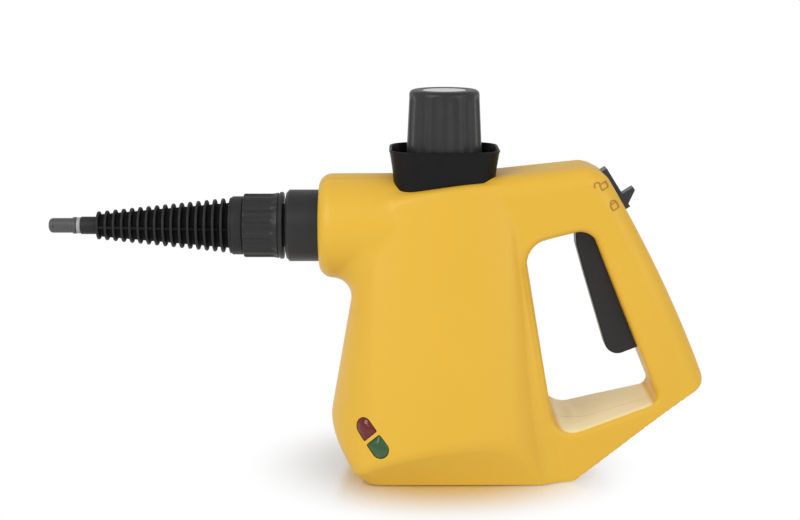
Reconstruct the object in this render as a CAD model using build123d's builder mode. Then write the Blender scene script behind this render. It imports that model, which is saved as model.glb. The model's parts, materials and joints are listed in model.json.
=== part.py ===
from build123d import *
import os
from math import atan2, cos, degrees, hypot, radians, sin, sqrt, tan

# Handheld steam cleaner: a yellow two-part housing with a finger loop, a screw cap
# over a filler collar, a ribbed nozzle, and the boiler and controls inside.
# X runs from the nozzle (-X) to the heel of the handle (+X), Z is up, and the
# origin lies on the floor below the middle of the overall length.
os.makedirs("parts", exist_ok=True)

# Fits shared by all pieces
gap = 0.3            # clearance between pieces that don't bear on each other
running = 0.05       # radial clearance of a shaft, pin or sleeve that turns or slides
over = 1.0           # how far a cut runs past the face it opens
fine = 0.6           # small edge rounding
tiny = 0.001         # what counts as touching
standing = (Align.CENTER, Align.CENTER, Align.MIN)
hanging = (Align.CENTER, Align.CENTER, Align.MAX)

# Housing, seen from the side: stations are measured from the hub's front face
housing_length = 228.9
housing_height = 186.0
wall = 2.6
parting_y = -9.0     # the plane where the two shells meet
nozzle_axis_z = 148.6
hub_radius = 31.0
hub_round = 8.0
hub_slope = 0.6      # how much the barrel rises towards the handle
barrel_length = 107.0

# Body tower: an oval plan that narrows upwards
body_length = 145.2
body_front = 0.5
front_half = 43.5
belly_half = 61.0
rear_half = 45.0
belly_share = 0.53
plan_corner = 35.0
body_draft = 10.0    # degrees
tower_height = 184.0
base_half = 42.0
undercut_run_front = 0.75  # sideways run of the undercut for each unit of height, at the foot and at the rear
undercut_run_rear = 0.23
base_front = 26.5
foot_lean = 51.1       # degrees that the sloped foot rises from the floor
base_corner = 10.0

# Handle loop
loop_start = 97.5
loop_half_front = 28.2
loop_half_rear = 20.5
loop_round = 9.5
heel_round = 8.0
apex_round = 16.0
back_top_round = 11.4
heel_rise = 11.2       # the heel's short straight, and how far it leans for each unit of height
heel_run = 0.38
skirt = 14.0         # the loop is rounded this far below its true underside, then trimmed
skirt_heel_run = 0.41  # sideways run of the skirt at the heel and at the arm's start
skirt_start_run = 0.3
underside_start = 151.2
blend_radius = 6.5   # hollow curve between the arm and the tower

# Filler collar, neck and cap
cap_station = 74.2
collar_rim_length = 64.4
collar_rim_depth = 51.0
collar_foot_length = 58.6
collar_foot_depth = 49.0
collar_rise = 9.5       # of its rim over the housing
collar_depth = 31.5     # from the rim down to the foot
collar_rim_z = housing_height + collar_rise
collar_foot_z = collar_rim_z - collar_depth
collar_corner = 14.0
collar_wall = 1.8
collar_pocket = 18.5    # from the rim down to the floor's underside
collar_floor_z = collar_rim_z - collar_pocket
collar_floor = 2.4
collar_lip = 0.4
collar_lip_height = 1.4
neck_outer = 13.0
neck_bore = 9.0
neck_rise = 2.1         # of its mouth over the collar's rim
neck_top = collar_rim_z + neck_rise
neck_flange = 15.5
neck_nut_radius = 17.0
neck_nut_height = 2.0
neck_flange_height = 3.0
gasket_height = 1.5
core_disc_radius = 16.4
core_disc_height = 3.0
core_plug_length = 11.0
core_post_radius = 5.0
cap_stroke = 2.5        # that the cap is pressed down to engage
cap_height = 44.8
cap_sink = 10.7         # of its skirt below the collar's rim
cap_skirt_z = collar_rim_z - cap_sink
cap_foot_radius = 22.8
cap_top_radius = 20.6
cap_bore = 17.4
cap_top_wall = 5.0
cap_flutes = 14
cap_flute_radius = 6.0
cap_flute_depth = 0.9
cap_round = 3.0
cap_dish_radius = 13.2
cap_dish_depth = 0.9
washer_height = 1.6
washer_radius = 15.0
washer_sleeve = 7.2
washer_sleeve_length = 11.0
cap_spring_radius = 9.4

# Boiler
boiler_radius = 33.0
boiler_wall = 3.0
boiler_floor_z = 36.0
boiler_split_z = 66.0
boiler_top_z = 100.0
boiler_flange = 40.0
boiler_flange_height = 3.0
boiler_gasket_height = 1.0
boiler_screws_count = 6
boiler_screw_radius = 1.6
boiler_screw_head = 3.0
boiler_dome_round = 3.0
element_ring = 23.0
element_tube = 3.4
element_terminal = 2.8
element_leg = 21.0
element_rise = 6.0    # height of the ring over the boiler's floor
bracket_height = 2.0
bracket_outer = 38.0
bracket_inner = 28.0
bracket_leg_ring = 33.0
bracket_leg_radius = 3.0
bracket_legs = 4
boiler_screw_ring = 36.5
boiler_screw_grip = 3.0
boiler_screw_head_height = 2.0
thermostat_radius = 6.0
thermostat_height = 8.0
thermostat_offset = 23.5
fuse_radius = 2.2
fuse_length = 16.0

# Steam path from the boiler to the nozzle
valve_width = 20.0
valve_length = 24.0
valve_height = 22.0
valve_station = 10.0
coil_radius = 9.0
coil_height = 13.0
plunger_radius = 2.4
plunger_length = 12.0
plunger_travel = 1.5
valve_spring_height = 3.0
valve_seat_rise = 2.4
wire = 0.6           # side of the square spring wire
spring_turns = 5
pipe_radius = 3.0
pipe_bore = 1.9
pipe_station = 50.0
pipe_bend = 8.0
outlet_pipe_radius = 4.0

# Nozzle, from the hub's face outwards
outlet_collar_length = 19.4
outlet_collar_radius = 21.4
outlet_collar_nose = 19.6
outlet_collar_chamfer = 1.8
outlet_collar_sunk = 7.0
outlet_flange_radius = 24.0
outlet_lip = 6.0      # the part of the collar that guides the nozzle's spigot
outlet_flange_height = 2.0
outlet_bore = 15.4
grip_gap = 1.7
grip_length = 23.7
grip_radius = 19.1
grip_band = 2.2
grip_band_radius = 20.0
grip_groove = 0.8
grip_groove_depth = 0.8
grip_flare = 3.4
grip_flare_radius = 19.6
grip_flutes = 18
grip_flute_radius = 2.6
grip_flute_depth = 1.0
grip_bore = 13.0
cone_flange_length = 6.8
cone_flange_radius = 17.4
cone_length = 80.7
rib_count = 17
rib_width = 1.5
rib_front_radius = 8.4
rib_rear_radius = 16.7
core_front_radius = 6.6
core_rear_radius = 13.6
fin_width = 1.2
fin_share = 0.55
sleeve_length = 9.9
nozzle_end_radius = 5.25
nozzle_bore = 3.2
spigot_length = 12.0
spigot_shoulder = 11.0
tip_ring_length = 2.4
tip_ring_radius = 4.85
tip_step_length = 2.1
tip_step_radius = 5.0
tip_length = 14.6
tip_radius = 4.4
tip_nose = 2.6
tip_bore = 1.2
tip_flat = 0.5
tip_stem_length = 9.0

# Trigger, switch and lock in the handle
trigger_width = 15.0
trigger_wall = 2.2
trigger_edge = 1.6
trigger_slot_gap = 0.5
trigger_slot_end = 1.2
trigger_round = 8.0
trigger_pin_radius = 2.0
trigger_boss_radius = 5.0
trigger_pin_half = 14.0
trigger_spring_radius = 3.6
trigger_spring_length = 31.0
switch_length = 10.7
switch_height = 10.0
switch_width = 8.0
button_width = 3.0
button_length = 5.0
button_gap = 0.35
button_reach = 4.5    # from the trigger's back to the switch case
back_lean = 57.6      # degrees that the handle's back rises from the floor at the lock
lock_track_width = 12.0
lock_track_proud = 2.8
lock_floor = 0.9      # height of the channel's floor over the handle's back
lock_channel = 8.6
lock_spigot_width = 8.0
lock_spigot_length = 22.0
lock_track_length = 27.0
lock_slot_width = 4.0
lock_travel = 10.6
lock_stem_length = 5.0
lock_rest = 5.4       # how far below the track's middle the stem rests
lock_plate_length = 13.6
lock_hook_height = 10.3
lock_hook_thick = 2.0
lock_hook_width = 8.0
lock_hook_foot = 7.4
lock_bar_height = 2.0
lock_bar_width = 10.0
lock_bar_length = 12.0

# Lamps, base and hidden fittings
lens_width = 9.6
lens_length = 11.8
lens_gap = 3.0
lens_depth = 4.0
lens_recess = 0.5
lens_tilt = 42.0     # degrees that the pair leans from upright
lens_station = 31.6
lens_height = 31.8
foot_radius = 5.0
foot_height = 1.6
foot_proud = 0.3      # the base stands this far off the floor on its feet
foot_front = 46.0
foot_rear = 128.0
foot_side = 27.0
screw_head_radius = 3.2
screw_head_height = 2.2
screw_radius = 1.5
screw_boss_radius = 5.2
screw_well_radius = 3.6
screw_seat = 6.0      # material under a screw head, from the parting plane
screw_thread = 8.0
lamp_radius = 2.4
lamp_length = 3.0
lamp_holder_width = 20.0
lamp_holder_length = 22.0
lamp_holder_height = 2.0
lamp_post_radius = 2.2
lamp_post_spread = 7.6
inlet_station = 178.0
gland_radius = 6.0
gland_flange = 8.5
gland_flange_height = 2.0
gland_length = 12.0
cord_bore = 3.6
clamp_length = 14.0
clamp_width = 8.0
clamp_height = 3.0
clamp_station = 158.0
terminal_length = 20.0
terminal_width = 14.0
terminal_height = 10.0
terminal_station = 127.0

nozzle_reach = (outlet_collar_length + grip_gap + grip_length + cone_flange_length + cone_length
                + sleeve_length + tip_ring_length + tip_step_length + tip_length)
overall_length = nozzle_reach + housing_length
hub_face_x = nozzle_reach - overall_length / 2


def station(distance):
    """X of a place at this distance behind the hub's front face."""
    return hub_face_x + distance


def side_point(length_share, height_share):
    """A point of the side view, as shares of the housing's length and height."""
    return (station(housing_length * length_share), housing_height * height_share)


def nearest_vertex(sketch, point):
    return min(sketch.vertices(), key=lambda v: hypot(v.X - point[0], v.Y - point[1]))


# Shares of the housing's length and height for the loop's outline and its finger opening
top_start_shares = (0.426, 0.965)
apex_shares = (0.690, 1.002)
back_top_shares = (0.737, 0.973)
back_middle_shares = (0.861, 0.704)
heel_shares = (1.008, 0.3005)
opening_shares = ((0.5245, 0.758), (0.699, 0.809), (0.887, 0.247), (0.612, 0.145))
opening_round_shares = (0.08, 0.06, 0.03, 0.07)
shoulder_shares = ((0.116, 0.817), (0.155, 0.868), (0.201, 0.917), (0.308, 0.942), (0.448, 0.960),
                   (0.72, 0.960))


def body_form(inset):
    """The oval tower, trimmed by the undercut base, the sloped front foot and the shoulder."""
    front = station(body_front)
    rear = front + body_length
    belly = front + body_length * belly_share
    with BuildPart() as tower:
        with BuildSketch():
            with BuildLine():
                ThreePointArc((front, -front_half), (belly, -belly_half), (rear, -rear_half))
                Line((rear, -rear_half), (rear, rear_half))
                ThreePointArc((rear, rear_half), (belly, belly_half), (front, front_half))
                Line((front, front_half), (front, -front_half))
            plan = make_face()
            fillet(plan.vertices(), radius=plan_corner)
            if inset:
                offset(amount=-inset)
        extrude(amount=tower_height, taper=body_draft)
    foot = station(base_front)
    shoulder = [side_point(*share) for share in shoulder_shares]
    with BuildPart() as block:
        with BuildSketch(Plane.XZ.offset(-2 * belly_half)):
            with BuildLine():
                Polyline(
                    (foot, 0), (rear + skirt, 0), shoulder[-1], *reversed(shoulder[:-1]),
                    (foot - body_length / 2, shoulder[0][1]),
                    (foot - body_length / 2, body_length / 2 * tan(radians(foot_lean))),
                    close=True)
            make_face()
            if inset:
                offset(amount=-inset, kind=Kind.INTERSECTION)
        extrude(amount=4 * belly_half, dir=(0, -1, 0))
        for ahead in (1, -1):
            run = (undercut_run_front + undercut_run_rear) / 2 + ahead * (undercut_run_front - undercut_run_rear)
            half = base_half - inset * sqrt(1 + run ** 2)
            spread = half + run * housing_height
            with BuildSketch(Plane.YZ.offset((foot + rear) / 2 - ahead * (rear - foot))):
                with BuildLine():
                    Polyline((-half, 0), (half, 0), (spread, housing_height), (-spread, housing_height),
                             close=True)
                make_face()
        loft(mode=Mode.INTERSECT)
        front_edges = block.faces().sort_by(Axis.X)[0].edges()
        corners = [e for e in block.edges() if e not in front_edges and e.center().X < foot
                   and e.center().Z < shoulder[0][1] and abs(e.center().Y) > base_half]
        fillet(corners, radius=base_corner - inset)
    return tower.part & block.part


def barrel_form(inset):
    """The round barrel that carries the nozzle."""
    face = station(inset)
    tail = station(barrel_length)
    radius = hub_radius - inset
    with BuildPart() as barrel:
        with BuildSketch(Plane.XZ):
            with BuildLine():
                Polyline(
                    (face, nozzle_axis_z), (tail, nozzle_axis_z), (tail, nozzle_axis_z + radius + hub_slope),
                    (face, nozzle_axis_z + radius), close=True)
            make_face()
        revolve(axis=Axis((0, 0, nozzle_axis_z), (1, 0, 0)))
        fillet(barrel.edges().sort_by(Axis.X)[0], radius=hub_round - inset)
    return barrel.part


def loop_form(inset):
    """The handle and the lower arm as one rounded ring with a crisp underside."""
    start = station(loop_start)
    top_start = side_point(*top_start_shares)
    apex = side_point(*apex_shares)
    back_top = side_point(*back_top_shares)
    back_middle = side_point(*back_middle_shares)
    heel = side_point(*heel_shares)
    low_heel = (heel[0] + skirt * skirt_heel_run, heel[1] - skirt)
    low_start = (station(underside_start) + skirt * skirt_start_run, -skirt)
    opening = [side_point(*share) for share in opening_shares]
    with BuildPart() as ring:
        with BuildSketch(Plane.XZ.offset(-2 * loop_half_front)) as side:
            with BuildLine():
                Polyline(low_heel, low_start, (start, -skirt), top_start, apex, back_top)
                ThreePointArc(back_top, back_middle, low_heel)
            make_face()
            fillet(nearest_vertex(side, apex), radius=apex_round)
            fillet(nearest_vertex(side, back_top), radius=back_top_round)
            with BuildLine():
                Polyline(*opening, close=True)
            make_face(mode=Mode.SUBTRACT)
            for corner, share in zip(opening, opening_round_shares):
                fillet(nearest_vertex(side, corner), radius=housing_height * share)
            if inset:
                offset(amount=-inset, kind=Kind.INTERSECTION)
        extrude(amount=4 * loop_half_front, dir=(0, -1, 0))
        front = loop_half_front - inset
        rear = loop_half_rear - inset
        with BuildSketch(Plane.XY.offset(-2 * skirt)):
            with BuildLine():
                Polyline((start - over, front), (start - over, -front),
                         (station(housing_length) + skirt, -rear),
                         (station(housing_length) + skirt, rear), close=True)
            make_face()
        extrude(amount=housing_height + 4 * skirt, dir=(0, 0, 1), mode=Mode.INTERSECT)
        long_edges = [e for e in ring.edges()
                      if abs(e.center().Y) > rear / 2 and abs(e.tangent_at(0.5).Y) < 0.5
                      and e.center().X > start + over and e.center().Z > 0]
        fillet(long_edges, radius=loop_round - inset)
    under = station(underside_start)
    with BuildPart() as trim:
        with BuildSketch(Plane.XZ.offset(-2 * loop_half_front)) as side:
            with BuildLine():
                Polyline((start - over, 0), (under, 0), heel,
                         (heel[0] - heel_rise * heel_run, heel[1] + heel_rise),
                         (heel[0] + skirt, 2 * housing_height), (start - over, 2 * housing_height), close=True)
            make_face()
            fillet(nearest_vertex(side, heel), radius=heel_round)
            if inset:
                offset(amount=-inset, kind=Kind.INTERSECTION)
        extrude(amount=4 * loop_half_front, dir=(0, -1, 0))
    return ring.part & trim.part


def housing_form(inset):
    """The whole housing; on the outside the arm and the tower meet in a soft hollow curve."""
    body = body_form(inset)
    loop = loop_form(inset)
    form = body + loop
    if not inset:
        meeting = [e for e in form.edges() if e.center().Z < cap_station
                   and body.distance_to(e.position_at(0.5)) < tiny
                   and loop.distance_to(e.position_at(0.5)) < tiny]
        form = form.fillet(blend_radius, meeting)
    return form + barrel_form(inset)


# Shares of the housing's length and height for the trigger, its pivot, the lock and the screws
trigger_shares = ((0.6662, 0.7704), (0.6680, 0.7414), (0.6907, 0.6457), (0.7479, 0.4194), (0.7833, 0.3800),
                  (0.8414, 0.4090), (0.8620, 0.4230), (0.7353, 0.7903), (0.7160, 0.8660), (0.6660, 0.8660))
trigger_round_shares = ((2, 1.2), (3, 1.0), (4, 0.35), (8, 0.5), (9, 0.5))  # corner, share of trigger_round
pivot_shares = (0.6894, 0.8656)
spring_seat_shares = (0.7470, 0.5450)
switch_shares = (0.7479, 0.7527)
lock_shares = (0.7650, 0.9188)
screw_shares = ((0.095, 0.323), (0.541, 0.376), (0.672, 0.129), (0.943, 0.323), (0.576, 0.882))

cap_x = station(cap_station)
cap_top_z = cap_skirt_z + cap_height
upright = Axis((cap_x, 0, 0), (0, 0, 1))
nozzle_line = Axis((0, 0, nozzle_axis_z), (1, 0, 0))
pivot = side_point(*pivot_shares)
trigger_outline = [side_point(*share) for share in trigger_shares]
grip_lean = atan2(opening_shares[1][1] * housing_height - opening_shares[2][1] * housing_height,
                  (opening_shares[2][0] - opening_shares[1][0]) * housing_length)
grip_back = (sin(grip_lean), 0, cos(grip_lean))
lock_up = (-cos(radians(back_lean)), 0, sin(radians(back_lean)))
lock_out = (sin(radians(back_lean)), 0, cos(radians(back_lean)))
switch_point = side_point(*switch_shares)
switch_plane = Plane(origin=(switch_point[0], 0, switch_point[1]), x_dir=(0, 1, 0), z_dir=grip_back)
spring_seat = side_point(*spring_seat_shares)
seat_plane = Plane(origin=(spring_seat[0], 0, spring_seat[1]), x_dir=(0, 1, 0), z_dir=grip_back)
foot_spots = [(station(x), y) for x in (foot_front, foot_rear) for y in (-foot_side, foot_side)]
inlet_x = station(inlet_station)
arm_slope = atan2(heel_shares[1] * housing_height, housing_length * heel_shares[0] - underside_start)
inlet_z = (inlet_x - station(underside_start)) * tan(arm_slope)
inlet_out = (sin(arm_slope), 0, -cos(arm_slope))
inlet_plane = Plane(origin=(inlet_x, 0, inlet_z), x_dir=(0, 1, 0), z_dir=inlet_out)

clamp_x = station(clamp_station)
clamp_plane = Plane(
    origin=(clamp_x, 0, (clamp_x - station(underside_start)) * tan(arm_slope) + wall / cos(arm_slope)),
    x_dir=(0, 1, 0), z_dir=(-sin(arm_slope), 0, cos(arm_slope)))


def draw_lens(side, grow):
    """Draw one lens in the open sketch: flat towards the middle of the pair, round outwards."""
    straight = lens_length - lens_width / 2
    with Locations((side * (lens_gap + straight) / 2, 0)):
        Rectangle(straight + 2 * grow, lens_width + 2 * grow)
    with Locations((side * (lens_gap / 2 + straight), 0)):
        Circle(lens_width / 2 + grow)


def coil_spring(radius, length, turns):
    """A square-wire coil that stands on the origin."""
    with BuildPart() as coil:
        with BuildLine():
            path = Helix(pitch=(length - wire) / turns, height=length - wire, radius=radius)
        with BuildSketch(Plane(origin=path @ 0, z_dir=path % 0)):
            Rectangle(wire, wire)
        sweep(path=path, is_frenet=True)
    return coil.part.moved(Location((0, 0, wire / 2)))


outer_form = housing_form(0)
inner_form = housing_form(wall)
middle_form = housing_form(wall / 2)
lock_spot = side_point(*lock_shares)
lock_hit = outer_form.find_intersection_points(Axis((lock_spot[0], 0, lock_spot[1]), lock_out))[-1]
lock_plane = Plane(origin=lock_hit[0], x_dir=lock_up, z_dir=lock_out)
lens_axis = Axis((station(lens_station), 0, lens_height), (0, -1, 0))
lens_hit = outer_form.find_intersection_points(lens_axis)[-1]
lens_point = lens_hit[0]
lens_normal = lens_hit[1] if lens_hit[1].Y < 0 else -lens_hit[1]
lens_down = (sin(radians(lens_tilt)), 0, -cos(radians(lens_tilt)))
lens_plane = Plane(origin=lens_point, x_dir=lens_down, z_dir=lens_normal)

# Bosses and posts that grow from the inside of the housing
with BuildPart() as bosses:
    for share in screw_shares:
        spot = side_point(*share)
        with Locations(Location((spot[0], 0, spot[1]), (90, 0, 0))):
            Cylinder(screw_boss_radius, 4 * belly_half)
    with Locations(Location((pivot[0], 0, pivot[1]), (90, 0, 0))):
        Cylinder(trigger_boss_radius, 4 * belly_half)
    with Locations(lens_plane.offset(-lens_depth)):
        with Locations((0, -lamp_post_spread), (0, lamp_post_spread)):
            Cylinder(lamp_post_radius, 2 * lens_depth)
    add(middle_form, mode=Mode.INTERSECT)

# Openings cut through the housing
with BuildPart() as openings:
    with BuildSketch(Plane.XY.offset(collar_foot_z - gap)):
        with Locations((cap_x, 0)):
            RectangleRounded(collar_foot_length + 2 * gap, collar_foot_depth + 2 * gap, collar_corner)
    with BuildSketch(Plane.XY.offset(collar_rim_z)):
        with Locations((cap_x, 0)):
            RectangleRounded(collar_rim_length + 2 * gap, collar_rim_depth + 2 * gap, collar_corner)
    loft()
    with BuildSketch(Plane.YZ.offset(station(-over))):
        with Locations((0, nozzle_axis_z)):
            Circle(outlet_collar_radius + running)
    extrude(amount=outlet_collar_sunk + over)
    with BuildSketch(Plane.XZ.offset(-trigger_width / 2 - trigger_slot_gap)):
        with BuildLine():
            Polyline(*trigger_outline, close=True)
        make_face()
        offset(amount=trigger_slot_end)
    extrude(amount=trigger_width + 2 * trigger_slot_gap, dir=(0, -1, 0))
    with BuildSketch(lock_plane.offset(-wall - over)):
        Rectangle(lock_spigot_length + 2 * running, lock_spigot_width + 2 * running)
    extrude(amount=wall + 2 * over)
    with BuildSketch(lens_plane.offset(over)):
        draw_lens(-1, gap)
        draw_lens(1, gap)
    extrude(amount=-2 * lens_depth)
    with BuildSketch(inlet_plane.offset(-wall - over)):
        Circle(gland_radius + running)
    extrude(amount=wall + 2 * over)
    with Locations((cap_x, 0, 0)):
        Box(4 * body_length, 4 * belly_half, 2 * foot_proud)
    with Locations(*[(x, y, foot_height / 2) for x, y in foot_spots]):
        Cylinder(foot_radius + running, foot_height)
    with Locations(Location((pivot[0], 0, pivot[1]), (90, 0, 0))):
        Cylinder(trigger_pin_radius + running, 2 * trigger_pin_half)
        Cylinder(trigger_boss_radius + over, -2 * parting_y)
    for share in screw_shares:
        spot = side_point(*share)
        with Locations(Location((spot[0], parting_y - screw_thread, spot[1]), (-90, 0, 0))):
            Cylinder(screw_radius + running, 2 * belly_half, align=standing)
        with Locations(Location((spot[0], parting_y + screw_seat, spot[1]), (-90, 0, 0))):
            Cylinder(screw_well_radius, 2 * belly_half, align=standing)

housing = outer_form - inner_form + bosses.part - openings.part

with BuildPart() as left_shell:
    add(housing)
    split(bisect_by=Plane.XZ.offset(-parting_y), keep=Keep.TOP)
left_shell.part.label = "left_shell"
export_step(left_shell.part, "parts/left_shell.step")

with BuildPart() as right_shell:
    add(housing)
    split(bisect_by=Plane.XZ.offset(-parting_y), keep=Keep.BOTTOM)
right_shell.part.label = "right_shell"
export_step(right_shell.part, "parts/right_shell.step")

# Filler collar, neck and nut
with BuildPart() as filler_collar:
    with BuildSketch(Plane.XY.offset(collar_foot_z)):
        with Locations((cap_x, 0)):
            RectangleRounded(collar_foot_length, collar_foot_depth, collar_corner)
    with BuildSketch(Plane.XY.offset(collar_rim_z)):
        with Locations((cap_x, 0)):
            RectangleRounded(collar_rim_length, collar_rim_depth, collar_corner)
    loft()
    with BuildSketch(Plane.XY.offset(collar_rim_z)):
        with Locations((cap_x, 0)):
            RectangleRounded(collar_rim_length + 2 * collar_lip, collar_rim_depth + 2 * collar_lip,
                             collar_corner + collar_lip)
    extrude(amount=-collar_lip_height)
    fillet(filler_collar.faces().sort_by(Axis.Z)[-1].edges(), radius=collar_lip)
    with BuildSketch(Plane.XY.offset(collar_floor_z + collar_floor)):
        with Locations((cap_x, 0)):
            RectangleRounded(collar_foot_length - 2 * collar_wall, collar_foot_depth - 2 * collar_wall,
                             collar_corner - collar_wall)
    with BuildSketch(Plane.XY.offset(collar_rim_z)):
        with Locations((cap_x, 0)):
            RectangleRounded(collar_rim_length - 2 * collar_wall, collar_rim_depth - 2 * collar_wall,
                             collar_corner - collar_wall)
    loft(mode=Mode.SUBTRACT)
    with BuildSketch(Plane.XY.offset(collar_foot_z - over)):
        with Locations((cap_x, 0)):
            RectangleRounded(collar_foot_length - 2 * collar_wall, collar_foot_depth - 2 * collar_wall,
                             collar_corner - collar_wall)
    extrude(amount=collar_floor_z - collar_foot_z + over, mode=Mode.SUBTRACT)
    with Locations((cap_x, 0, collar_floor_z)):
        Cylinder(neck_outer + running, 4 * collar_floor, mode=Mode.SUBTRACT)
filler_collar.part.label = "filler_collar"
export_step(filler_collar.part, "parts/filler_collar.step")

with BuildPart() as neck_nut:
    with BuildSketch(Plane.XY.offset(collar_floor_z + collar_floor)):
        with Locations((cap_x, 0)):
            RegularPolygon(neck_nut_radius, 6)
            Circle(neck_outer, mode=Mode.SUBTRACT)
    extrude(amount=neck_nut_height)
neck_nut.part.label = "neck_nut"
export_step(neck_nut.part, "parts/neck_nut.step")

with BuildPart() as filler_neck:
    with Locations((cap_x, 0, boiler_top_z)):
        Cylinder(neck_outer, neck_top - boiler_top_z, align=standing)
        Cylinder(neck_flange, neck_flange_height, align=standing)
        Cylinder(neck_bore, neck_top, align=standing, mode=Mode.SUBTRACT)
    chamfer(filler_neck.edges().sort_by(Axis.Z)[-1], length=fine)
filler_neck.part.label = "filler_neck"
export_step(filler_neck.part, "parts/filler_neck.step")

# Safety cap: the shell turns freely on the core until it is pressed down
core_z = neck_top + gap + gasket_height
post_height = cap_top_z - cap_top_wall - cap_stroke - gap - core_z
cap_lean = atan2(cap_foot_radius - cap_top_radius, cap_height)
flute_height = cap_height - 2 * cap_round
with BuildPart() as cap_shell:
    with BuildSketch(Plane.XZ):
        with BuildLine():
            Polyline(
                (cap_x, cap_top_z - cap_top_wall), (cap_x + cap_bore, cap_top_z - cap_top_wall),
                (cap_x + cap_bore, cap_skirt_z), (cap_x + cap_foot_radius, cap_skirt_z),
                (cap_x + cap_top_radius, cap_top_z), (cap_x + cap_dish_radius, cap_top_z),
                (cap_x + cap_dish_radius, cap_top_z - cap_dish_depth), (cap_x, cap_top_z - cap_dish_depth),
                close=True)
        make_face()
    revolve(axis=upright)
    top_rim = cap_shell.edges().filter_by_position(Axis.Z, cap_top_z - fine, cap_top_z + fine)
    fillet(top_rim.sort_by(SortBy.LENGTH)[-1], radius=cap_round)
    with Locations((cap_x, 0, cap_skirt_z)):
        with PolarLocations(0, cap_flutes):
            with Locations(Location((cap_foot_radius + cap_flute_radius - cap_flute_depth, 0, 0),
                                    (0, -degrees(cap_lean), 0))):
                Cylinder(cap_flute_radius, flute_height, align=standing,
                         mode=Mode.SUBTRACT)
cap_shell.part.label = "cap_shell"
export_step(cap_shell.part, "parts/cap_shell.step")

with BuildPart() as cap_disc:
    with Locations((cap_x, 0, cap_top_z - cap_dish_depth)):
        Cylinder(cap_dish_radius - gap, cap_dish_depth - gap, align=standing)
cap_disc.part.label = "cap_disc"
export_step(cap_disc.part, "parts/cap_disc.step")

with BuildPart() as cap_core:
    with Locations((cap_x, 0, core_z)):
        Cylinder(core_disc_radius, core_disc_height, align=standing)
        Cylinder(neck_bore - running, core_plug_length, align=hanging)
        Cylinder(core_post_radius, post_height, align=standing)
    chamfer(cap_core.edges().sort_by(Axis.Z)[0], length=fine)
cap_core.part.label = "cap_core"
export_step(cap_core.part, "parts/cap_core.step")

with BuildPart() as cap_gasket:
    with Locations((cap_x, 0, neck_top + gap)):
        Cylinder(neck_outer + over, gasket_height, align=standing)
        Cylinder(neck_bore - running, gasket_height, align=standing,
                 mode=Mode.SUBTRACT)
cap_gasket.part.label = "cap_gasket"
export_step(cap_gasket.part, "parts/cap_gasket.step")

washer_z = cap_top_z - cap_top_wall - gap - washer_height
with BuildPart() as cap_slip_washer:
    with Locations((cap_x, 0, washer_z)):
        Cylinder(washer_radius, washer_height, align=standing)
        Cylinder(washer_sleeve, washer_sleeve_length, align=hanging)
        Cylinder(core_post_radius + running, 2 * (washer_sleeve_length + over), mode=Mode.SUBTRACT)
cap_slip_washer.part.label = "cap_slip_washer"
export_step(cap_slip_washer.part, "parts/cap_slip_washer.step")

with BuildPart() as cap_spring:
    add(coil_spring(cap_spring_radius, washer_z - core_z - core_disc_height, spring_turns).moved(
        Location((cap_x, 0, core_z + core_disc_height))))
cap_spring.part.label = "cap_spring"
export_step(cap_spring.part, "parts/cap_spring.step")

# Boiler in two halves on a bracket, with its element, thermostat and fuse
with BuildPart() as boiler_base:
    with BuildSketch(Plane.XZ):
        with BuildLine():
            Polyline(
                (cap_x, boiler_floor_z), (cap_x + boiler_radius, boiler_floor_z),
                (cap_x + boiler_radius, boiler_split_z - boiler_flange_height),
                (cap_x + boiler_flange, boiler_split_z - boiler_flange_height),
                (cap_x + boiler_flange, boiler_split_z), (cap_x + boiler_radius - boiler_wall, boiler_split_z),
                (cap_x + boiler_radius - boiler_wall, boiler_floor_z + boiler_wall),
                (cap_x, boiler_floor_z + boiler_wall), close=True)
        make_face()
    revolve(axis=upright)
    with Locations((cap_x, 0, boiler_split_z)):
        with PolarLocations(boiler_screw_ring, boiler_screws_count):
            Cylinder(boiler_screw_radius, 2 * boiler_split_z, mode=Mode.SUBTRACT)
    with Locations((cap_x, 0, boiler_floor_z)):
        with Locations((element_ring, 0), (-element_ring, 0)):
            Cylinder(element_terminal + running, 4 * boiler_wall, mode=Mode.SUBTRACT)
boiler_base.part.label = "boiler_base"
export_step(boiler_base.part, "parts/boiler_base.step")

with BuildPart() as boiler_gasket:
    with BuildSketch(Plane.XY.offset(boiler_split_z)):
        with Locations((cap_x, 0)):
            Circle(boiler_flange)
            Circle(boiler_radius - boiler_wall, mode=Mode.SUBTRACT)
            with PolarLocations(boiler_screw_ring, boiler_screws_count):
                Circle(boiler_screw_radius, mode=Mode.SUBTRACT)
    extrude(amount=boiler_gasket_height)
boiler_gasket.part.label = "boiler_gasket"
export_step(boiler_gasket.part, "parts/boiler_gasket.step")

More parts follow.
